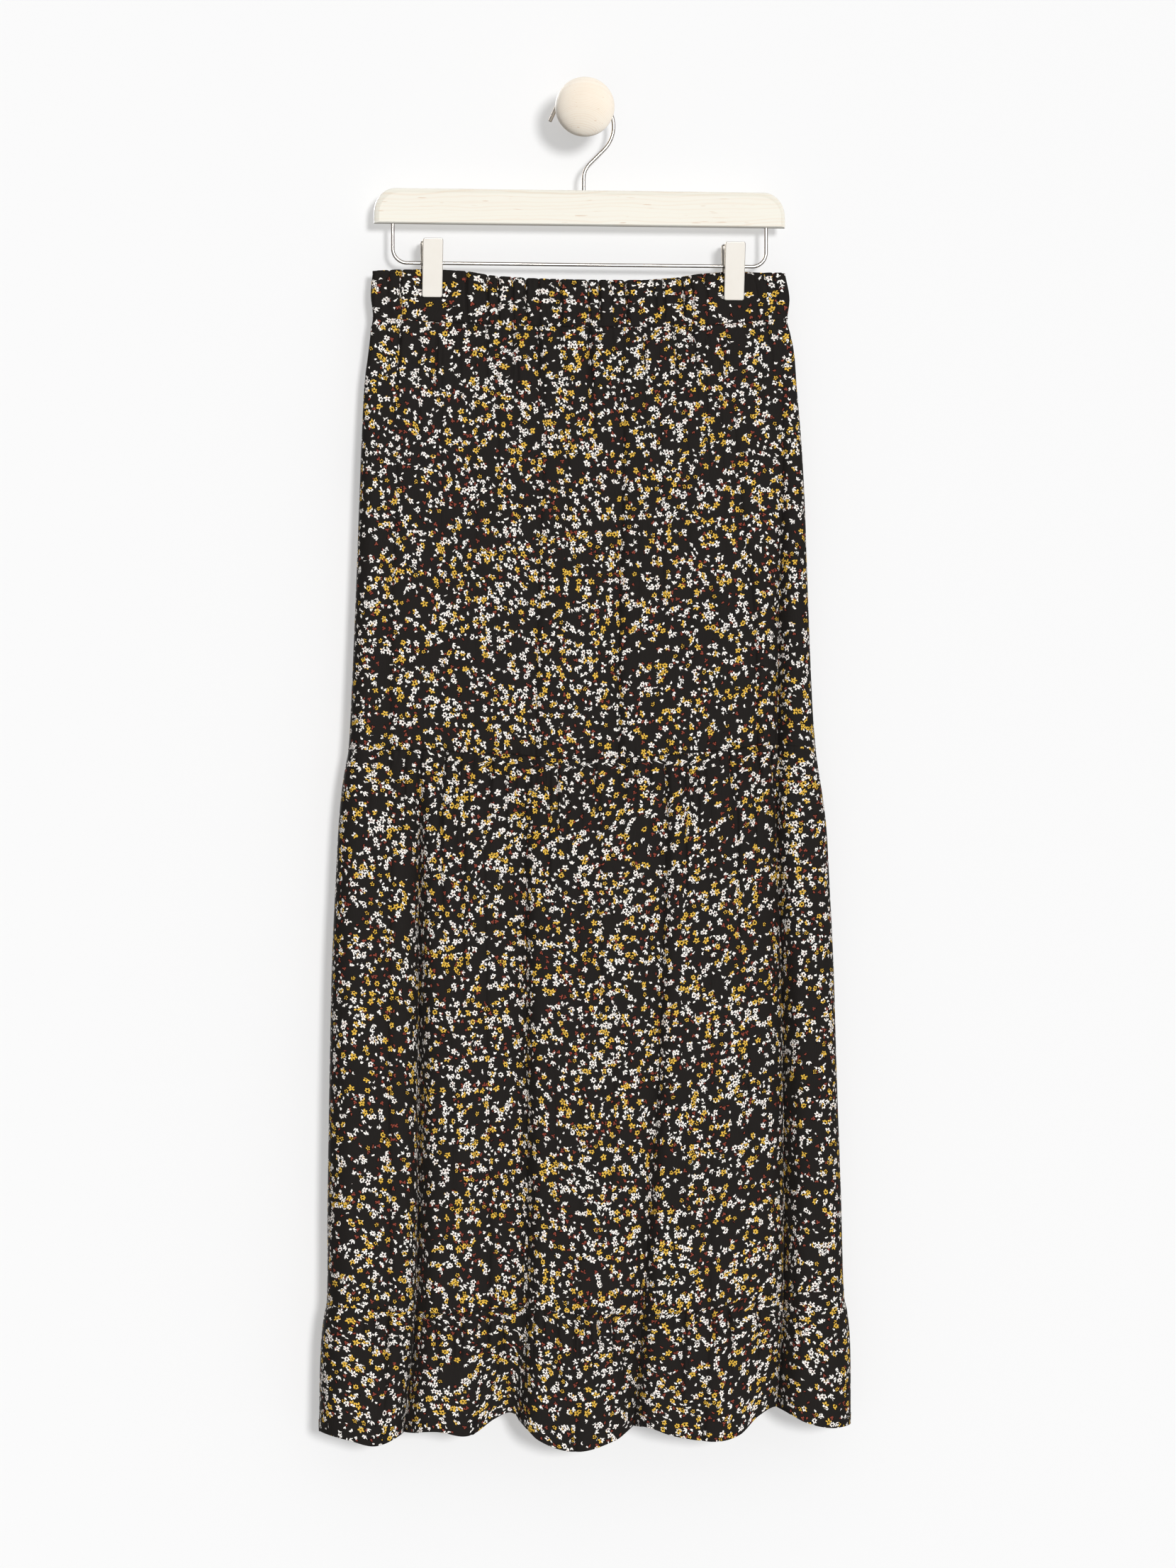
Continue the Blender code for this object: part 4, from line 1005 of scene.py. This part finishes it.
def maple(name, early, late, ring_mm, lean, axis_place, roughness):
    """Pale hard maple: thin growth lines, peach streaks, a fine fleck and no open pores."""
    made, shader, add = new_material(name, Roughness=roughness, IOR=1.5,
                                     Specular_IOR_Level=0.3, Diffuse_Roughness=1.0)
    place = add("TexCoord").outputs["Object"]

    def figure(repeats, detail, scale=1.0):
        """Noise that is drawn out along the grain."""
        drawn = add("Mapping", {"Vector": place, "Scale": repeats})
        return add("TexNoise", {"Vector": drawn, "Scale": scale, "Detail": detail})

    moved = add("Mapping", {"Vector": place, "Location": axis_place,
                            "Rotation": (0.0, math.radians(lean), 0.0)})
    across = add("VectorMath", [moved, (0.0, 1.0, 1.0)], operation="MULTIPLY")
    radius = add("VectorMath", [across], operation="LENGTH").outputs["Value"]
    wander = add("Math", [figure(WOOD_SWAY, 3.0), ring_mm * RING_WANDER * MM],
                 operation="MULTIPLY")
    depth = add("Math", [radius, wander], operation="ADD")
    line = add("Math", [depth, math.pi / (ring_mm * MM)], operation="MULTIPLY")
    for step in ("SINE", "ABSOLUTE"):
        line = add("Math", [line], operation=step)
    line = add("Math", [line, LATE_WOOD_POWER], operation="POWER")
    strength = add("TexNoise", {"W": depth, "Scale": RING_CHANGE / (ring_mm * MM),
                                "Detail": 0.0}, noise_dimensions="1D")
    for share in (strength, LATE_WOOD_SHARE):
        line = add("Math", [line, share], operation="MULTIPLY")
    grain = add("Math", [figure(WOOD_FIBRE, 4.0), FIBRE_SHARE, line],
                operation="MULTIPLY_ADD")
    tone = add("Math", [figure(WOOD_SWAY, 2.0, CLOUD_SCALE), CLOUD_SHARE, grain],
               operation="MULTIPLY_ADD")
    shade = add("MapRange", [tone, *WOOD_TONES])
    colour = add("Mix", {0: shade, 6: early, 7: late}, data_type="RGBA").outputs[2]
    # Short brown dashes, the ends of rays, a few to a hand's breadth.
    dash = add("MapRange", [figure(WOOD_DASHES, 0.0), *DASH_EDGES, 0.0, DASH_STRENGTH])
    marked = add("Mix", {0: dash, 6: colour, 7: WOOD_FLECK}, data_type="RGBA")
    join(shader, "Base Color", marked.outputs[2])
    join(shader, "Normal", add("Bump", {"Height": grain, "Distance": GRAIN_BUMP_MM * MM}))
    return made


def plated_wire():
    """Nickel-plated steel wire, drawn smooth: a bright core between darker edges."""
    made, shader, add = new_material(
        "nickel_plated_wire", Metallic=1.0, Base_Color=hex_colour("#d9d3cb"),
        Specular_Tint=hex_colour("#7d746c"))
    place = add("TexCoord").outputs["Object"]
    haze = add("TexNoise", {"Vector": place, "Scale": WIRE_HAZE, "Detail": 1.0})
    join(shader, "Roughness", add("MapRange", [haze, 0.0, 1.0, *WIRE_ROUGHNESS]))
    return made


def satin_nickel():
    """Pressed steel with satin nickel plate, tumbled: warm, pale and softly clouded."""
    made, shader, add = new_material("satin_nickel_plate", Metallic=1.0,
                                     Specular_Tint=hex_colour("#b9b1a7"))
    place = add("TexCoord").outputs["Object"]
    cloud = add("TexNoise", {"Vector": place, "Scale": CLIP_CLOUD, "Detail": 2.0})
    grit = add("TexNoise", {"Vector": place, "Scale": CLIP_GRIT, "Detail": 1.0})
    tint = add("Mix", {0: cloud, 6: hex_colour("#d0cbc3"), 7: hex_colour("#d7d3cc")},
               data_type="RGBA")
    join(shader, "Base Color", tint.outputs[2])
    join(shader, "Roughness", add("MapRange", [cloud, 0.0, 1.0, *CLIP_ROUGHNESS]))
    join(shader, "Normal", add("Bump", {"Height": grit, "Distance": GRIT_BUMP_MM * MM}))
    return made


def one_sided_plaster():
    """Matt white paint on plaster, seen from its front only. A glow of its own keeps it
    white close to the skirt, as a wall is that has been lit past white."""
    made, shader, add = new_material(
        "matt_white_wall_paint", Roughness=0.95, Specular_IOR_Level=0.0,
        Base_Color=hex_colour("#c5c5c5"), Emission_Color=hex_colour("#ffffff"),
        Emission_Strength=WALL_GLOW)
    facing = add("NewGeometry").outputs["Backfacing"]
    both = add("MixShader", [facing, shader, add("BsdfTransparent")])
    join(made.node_tree.nodes["Material Output"], "Surface", both)
    return made


# ---- building pieces -----------------------------------------------------------------

def link_object(name, data):
    """Puts data in the scene as an object at the origin."""
    made = bpy.data.objects.new(name, data)
    bpy.context.collection.objects.link(made)
    return made


def finish_piece(piece, finish, node):
    """Gives a piece its finish and slot, and lets it stand for its node on the one body."""
    piece.data.materials.append(finish)
    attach(piece, "root")
    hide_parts(node)


def add_mesh(name, bm, crease_angle=None):
    """A smooth-shaded piece, with edges sharp past the crease angle in degrees."""
    mesh = bpy.data.meshes.new(name)
    bm.to_mesh(mesh)
    bm.free()
    mesh.shade_smooth()
    if crease_angle:
        mesh.set_sharp_from_angle(angle=math.radians(crease_angle))
    return link_object(name, mesh)


def add_shell(piece, name, thickness):
    """Gives a surface its thickness, inwards from its outer face."""
    shell = piece.modifiers.new(name, "SOLIDIFY")
    shell.thickness = thickness
    shell.offset = -1.0


def add_cloth(panel, finish):
    """A panel's thin shell, with a map of where each point lies on the cut cloth."""
    rows, cut_rows = panel.grid()
    last_row, last_column = len(rows) - 1, len(rows[0]) - 1
    number, mirrored = RINGS.index(panel.ring), panel.side == "back"
    # Each panel has a place of its own in the print, so that no two are cut alike.
    cut_home = CUT_GAP * (1 + 2 * number + (1 if mirrored else 0))
    bm = bmesh.new()
    bmesh.ops.create_grid(bm, x_segments=last_column, y_segments=last_row, size=0.5)
    cut = bm.loops.layers.uv.new(CUT_MAP)
    for vert in bm.verts:
        column = round((vert.co.x + 0.5) * last_column)
        row = round((0.5 - vert.co.y) * last_row)
        seen = last_column - column if mirrored else column
        across, down = cut_rows[row][seen]
        place = ((cut_home + across * (-1 if mirrored else 1)) * MM, (cut_home - down) * MM)
        for loop in vert.link_loops:
            loop[cut].uv = place
        vert.co = rows[row][seen] * MM
    node = f"{panel.ring.name}_{panel.side}"
    piece = add_mesh(node + "_cloth", bm)
    add_shell(piece, "cloth thickness", CLOTH_THICKNESS * MM)
    finish_piece(piece, finish, node)


def add_wire(name, points, radius, finish, node):
    """A round wire along points, closed at both ends."""
    curve = bpy.data.curves.new(name, "CURVE")
    curve.dimensions = "3D"
    curve.twist_mode = "MINIMUM"
    curve.bevel_depth = radius
    curve.bevel_resolution = WIRE_ROUND_STEPS
    curve.use_fill_caps = True
    line = curve.splines.new("POLY")
    line.points.add(len(points) - 1)
    for target, point in zip(line.points, points):
        target.co = (*point, 1)
    line.use_smooth = True
    finish_piece(link_object(name, curve), finish, node)


def arc(centre, radius, start, end, count):
    """Points in the hanger's plane round a centre, angles in degrees from +X."""
    turns = [math.radians(mix(start, end, step / count)) for step in range(count + 1)]
    return [Vector((centre[0] + radius * math.cos(turn), HANGER_Y,
                    centre[1] + radius * math.sin(turn))) for turn in turns]


def add_knob(finish):
    """The turned knob: a stem with a flat back and a ball at its front, spun as one."""
    meeting = math.asin(KNOB_STEM_RADIUS / KNOB_BALL_RADIUS)
    profile = [Vector((0, 0, 0)), Vector((KNOB_STEM_RADIUS - KNOB_EASED_EDGE, 0, 0)),
               Vector((KNOB_STEM_RADIUS, -KNOB_EASED_EDGE, 0))]
    for step in range(KNOB_PROFILE_STEPS + 1):
        turn = mix(meeting, math.pi, step / KNOB_PROFILE_STEPS)
        profile.append(Vector((KNOB_BALL_RADIUS * math.sin(turn),
                               KNOB_BALL_CENTRE_Y + KNOB_BALL_RADIUS * math.cos(turn), 0)))
    bm = bmesh.new()
    verts = [bm.verts.new(point) for point in profile]
    edges = [bm.edges.new(pair) for pair in zip(verts, verts[1:])]
    bmesh.ops.spin(bm, geom=verts + edges, axis=(0, 1, 0), cent=(0, 0, 0), angle=math.tau,
                   steps=KNOB_SPIN_STEPS, use_merge=True)
    bmesh.ops.remove_doubles(bm, verts=bm.verts[:], dist=SAME_PLACE)
    bmesh.ops.recalc_face_normals(bm, faces=bm.faces[:])
    piece = add_mesh("turned_ball_knob", bm, KNOB_CRISP_ANGLE)
    finish_piece(piece, finish, "wall_knob")


def add_bar(finish):
    """The wooden bar: a board with round shoulders and its rim rounded from a crisp edge."""
    half, height = BAR_LENGTH / 2, BAR_TOP - BAR_BOTTOM
    outline = [(-half, 0.0), (half, 0.0)]
    for mirror in (1, -1):
        shoulder = []
        for step in range(SHOULDER_STEPS + 1):
            turn = math.pi / 2 * step / SHOULDER_STEPS
            x = half - BAR_SHOULDER_WIDTH * (1 - math.cos(turn))
            z = height - BAR_SHOULDER_HEIGHT * (1 - math.sin(turn))
            shoulder.append((mirror * x, z))
        outline += shoulder if mirror == 1 else reversed(shoulder)
    start = math.radians(BAR_ROUND_START)
    rim = []
    for step in range(BAR_ROUND_STEPS + 1):
        turn = mix(start, math.pi / 2, step / BAR_ROUND_STEPS)
        inset = (1 - math.sin(turn)) / (1 - math.sin(start))
        deep = BAR_ROUND_DEPTH * (1 - math.cos(turn) / math.cos(start))
        wide = 1 - inset * BAR_TOP_ROUND / half
        bottom, top = BAR_BOTTOM + inset * BAR_BOTTOM_ROUND, BAR_TOP - inset * BAR_TOP_ROUND
        rim.append([(x * wide, deep - BAR_THICKNESS / 2, mix(bottom, top, z / height))
                    for x, z in outline])
    rim += [[(x, -y, z) for x, y, z in ring] for ring in reversed(rim)]
    bm = bmesh.new()
    loops = []
    for ring in rim:
        verts = [bm.verts.new((x, HANGER_Y + y, z)) for x, y, z in ring]
        loops.append([bm.edges.new(pair) for pair in zip(verts, verts[1:] + verts[:1])])
    for loop, after in zip(loops, loops[1:]):
        bmesh.ops.bridge_loops(bm, edges=loop + after)
    for loop in (loops[0], loops[-1]):
        bmesh.ops.contextual_create(bm, geom=loop)
    bmesh.ops.recalc_face_normals(bm, faces=bm.faces[:])
    piece = add_mesh("maple_bar", bm, BAR_CRISP_ANGLE)
    finish_piece(piece, finish, "hanger_bar")


def add_hook(finish):
    """The hook: a straight tip, the crook over the knob's stem, and a bent neck."""
    meet, tip = math.radians(CROOK_MEET_ANGLE), math.radians(CROOK_TIP_ANGLE)
    aside = CROOK_RADIUS - CROOK_TIP_RADIUS
    tip_centre = (aside * math.cos(meet), CROOK_CENTRE_Z + aside * math.sin(meet))
    tip_arc = arc(tip_centre, CROOK_TIP_RADIUS, CROOK_TIP_ANGLE, CROOK_MEET_ANGLE, TIP_STEPS)
    points = [tip_arc[0] + Vector((-math.sin(tip), 0, math.cos(tip))) * CROOK_TIP_LENGTH]
    points += tip_arc
    points += arc((0.0, CROOK_CENTRE_Z), CROOK_RADIUS, CROOK_MEET_ANGLE, -NECK_LEAN,
                  CROOK_STEPS)[1:]
    lean = math.radians(NECK_LEAN)
    neck_centre_x = HOOK_SHANK_X + NECK_RADIUS
    start_x = neck_centre_x - NECK_RADIUS * math.cos(lean)
    leave = points[-1]
    drop = (leave.x - start_x) / math.tan(lean)
    neck_centre = (neck_centre_x, leave.z - drop - NECK_RADIUS * math.sin(lean))
    points += arc(neck_centre, NECK_RADIUS, 180 - NECK_LEAN, 180, NECK_STEPS)
    points.append(Vector((HOOK_SHANK_X, HANGER_Y, BAR_TOP - HOOK_SINK)))
    add_wire("wire_hook", points, WIRE_RADIUS, finish, "hanger_hook")


def add_rod(finish):
    """The clip rod: a wire bent down from the bar at each end and straight between."""
    top = BAR_BOTTOM + HOOK_SINK
    inside = ROD_HALF_WIDTH - ROD_CORNER_RADIUS
    level = ROD_Z + ROD_CORNER_RADIUS
    points = [Vector((-ROD_HALF_WIDTH, HANGER_Y, top))]
    points += arc((-inside, level), ROD_CORNER_RADIUS, 180, 270, CORNER_STEPS)
    points += arc((inside, level), ROD_CORNER_RADIUS, 270, 360, CORNER_STEPS)
    points.append(Vector((ROD_HALF_WIDTH, HANGER_Y, top)))
    add_wire("wire_clip_rod", points, WIRE_RADIUS, finish, "clip_rod")


def round_edges(bm, edges, radius, steps):
    """Rounds edges by so many steps."""
    bmesh.ops.bevel(bm, geom=edges, offset=radius, offset_type="OFFSET", segments=steps,
                    profile=0.5, affect="EDGES", material=-1)


def add_clip_plate(hand, side, finish):
    """One pressed plate of a clip: a shallow channel, open towards the other plate."""
    sign = -1 if side == "front" else 1
    depth = CLIP_SHEET + CLIP_FLANGE
    bm = bmesh.new()
    bmesh.ops.create_cube(bm, size=1.0)
    bmesh.ops.scale(bm, verts=bm.verts[:], vec=(CLIP_WIDTH, depth, CLIP_HEIGHT))
    bmesh.ops.translate(bm, verts=bm.verts[:], vec=(0, depth / 2, CLIP_HEIGHT / 2))
    corners = [edge for edge in bm.edges
               if abs(edge.verts[0].co.y - edge.verts[1].co.y) > depth / 2]
    round_edges(bm, corners, CLIP_CORNER_ROUND, CLIP_CORNER_STEPS)
    inner = [face for face in bm.faces
             if face.calc_center_median().y > depth - SAME_PLACE]
    bmesh.ops.delete(bm, geom=inner, context="FACES")
    rim = [edge for edge in bm.edges if all(vert.co.y < SAME_PLACE for vert in edge.verts)]
    round_edges(bm, rim, CLIP_EDGE_ROUND, CLIP_EDGE_STEPS)
    bmesh.ops.recalc_face_normals(bm, faces=bm.faces[:])
    middle = max(bm.faces, key=lambda face: face.calc_area())
    if middle.normal.y > 0:
        bmesh.ops.reverse_faces(bm, faces=bm.faces[:])
    for vert in bm.verts:
        rise = vert.co.z
        reach = mix(CLIP_TIP_FLANGE, 1.0, smooth((rise - CLIP_TIP_HEIGHT) / CLIP_WIDENING))
        outside = CLIP_TIP_INSIDE + CLIP_SHEET + CLIP_SPREAD * rise
        vert.co = Vector((CLIP_CENTRES[hand] + vert.co.x,
                          HANGER_Y + sign * (outside - vert.co.y * reach), CLIP_TIP_Z + rise))
    if sign > 0:
        bmesh.ops.reverse_faces(bm, faces=bm.faces[:])
    piece = add_mesh(f"{hand}_clip_{side}_plate", bm, CLIP_CRISP_ANGLE)
    add_shell(piece, "sheet thickness", CLIP_SHEET)
    piece.modifiers.new("flat faces stay flat", "WEIGHTED_NORMAL").keep_sharp = True
    finish_piece(piece, finish, f"clip_{hand}_{side}")


def add_spring(hand, finish):
    """The clip's spring: a coil round the rod, with a leg up to each plate."""
    leg_z = ROD_Z + SPRING_LEG_RISE
    leg_end = CLIP_TIP_INSIDE + CLIP_SPREAD * (leg_z - CLIP_TIP_Z)
    leg_end -= SPRING_WIRE_RADIUS + SPRING_LEG_ROOM + TOUCH_GAP
    start = CLIP_CENTRES[hand] - SPRING_TURNS * SPRING_PITCH / 2
    points = [Vector((start - SPRING_PITCH / 2, HANGER_Y - leg_end, leg_z))]
    for step in range(SPRING_TURNS * SPRING_STEPS + SPRING_STEPS // 2 + 1):
        turn = math.tau * step / SPRING_STEPS
        points.append(Vector((start + SPRING_PITCH * step / SPRING_STEPS,
                              HANGER_Y - SPRING_COIL_RADIUS * math.cos(turn),
                              ROD_Z - SPRING_COIL_RADIUS * math.sin(turn))))
    points.append(Vector((points[-1].x + SPRING_PITCH / 2, HANGER_Y + leg_end, leg_z)))
    add_wire(f"{hand}_clip_coil", points, SPRING_WIRE_RADIUS, finish, f"clip_{hand}_spring")


# ---- stage, light and camera ---------------------------------------------------------

def add_stage():
    """A white wall behind and a pale floor below, each seen from its front side only."""
    paint = one_sided_plaster()
    for name, place, turn in (("studio_wall", (0, WALL_BEHIND, 0), math.pi / 2),
                              ("studio_floor", (0, 0, FLOOR_Z), 0.0)):
        bm = bmesh.new()
        bmesh.ops.create_grid(bm, x_segments=1, y_segments=1, size=STAGE_HALF)
        bmesh.ops.rotate(bm, verts=bm.verts[:], matrix=Matrix.Rotation(turn, 3, "X"))
        bmesh.ops.translate(bm, verts=bm.verts[:], vec=place)
        piece = add_mesh(name, bm)
        piece.data.materials.append(paint)
        for ray in ("diffuse", "glossy", "transmission", "volume_scatter", "shadow"):
            setattr(piece, "visible_" + ray, False)


def aim_lamp(name, kind, toward, **settings):
    """A lamp at a place that looks along a direction."""
    lamp = bpy.data.lights.new(name, kind)
    for setting, value in settings.items():
        setattr(lamp, setting, value)
    holder = link_object(name, lamp)
    holder.rotation_euler = Vector(toward).to_track_quat("-Z", "Y").to_euler()
    return holder


def add_lamps():
    """A broad window high in front, a softer one behind the wall for the views from there,
    and a low card that the clips mirror."""
    for name, (come_from, angle, power) in WINDOWS.items():
        aim_lamp(name, "SUN", [-part for part in come_from], energy=power,
                 angle=math.radians(angle))
    card = aim_lamp("low card", "AREA", CARD_TOWARD, energy=CARD_POWER, shape="SQUARE",
                    size=CARD_SIZE)
    card.location = CARD_PLACE


def add_world():
    """A white room: bright in front and above, dim on the left, a wall's bounce behind."""
    world = bpy.data.worlds.new("white studio")
    world.use_nodes = True
    add = partial(add_node, world.node_tree)
    way = add("SeparateXYZ", [add("TexCoord").outputs["Generated"]])
    shade = add("MapRange", [way.outputs[1], 1.0, -1.0, ROOM_BACK, ROOM_FRONT],
                interpolation_type="SMOOTHSTEP")
    for axis, room in ((0, ROOM_LEFT_RIGHT), (2, ROOM_LOW_HIGH)):
        part = add("MapRange", [way.outputs[axis], -1.0, 1.0, *room])
        shade = add("Math", [shade, part], operation="MULTIPLY")
    join(world.node_tree.nodes["Background"], "Color", shade)
    bpy.context.scene.world = world


def add_camera():
    """Level, a little to the left of square on, and far off, so that uprights stay so."""
    turn = math.radians(CAMERA_AZIMUTH)
    camera = bpy.data.cameras.new("camera")
    camera.sensor_fit = "VERTICAL"
    camera.sensor_height = SENSOR_MM
    camera.lens = LENS_MM
    camera.clip_end = FARTHEST_SEEN
    holder = link_object("camera", camera)
    away = Vector((math.sin(turn), -math.cos(turn), 0))
    holder.location = Vector(CAMERA_AIM) + away * CAMERA_DISTANCE
    holder.rotation_euler = (math.pi / 2, 0, turn)
    bpy.context.scene.camera = holder
    bpy.context.scene.view_settings.view_transform = "Standard"


def main():
    cloth = printed_viscose()
    bar_wood = maple("lacquered_maple", hex_colour("#ebe8de"), hex_colour("#e6d9c8"),
                     ring_mm=3.6, lean=1.0, axis_place=(0.0, 0.02, 0.31), roughness=0.42)
    knob_wood = maple("bare_turned_maple", hex_colour("#f5ede0"), hex_colour("#ead6c0"),
                      ring_mm=1.1, lean=-9.0, axis_place=(0.0, 0.05, -0.052), roughness=0.58)
    wire = plated_wire()
    clip_metal = satin_nickel()
    add_knob(knob_wood)
    add_bar(bar_wood)
    add_hook(wire)
    add_rod(wire)
    for hand in CLIP_CENTRES:
        for side in SIDES:
            add_clip_plate(hand, side, clip_metal)
        add_spring(hand, wire)
    for ring in RINGS:
        for side in SIDES:
            add_cloth(Panel(ring, side), cloth)
    add_stage()
    add_world()
    add_lamps()
    add_camera()


main()
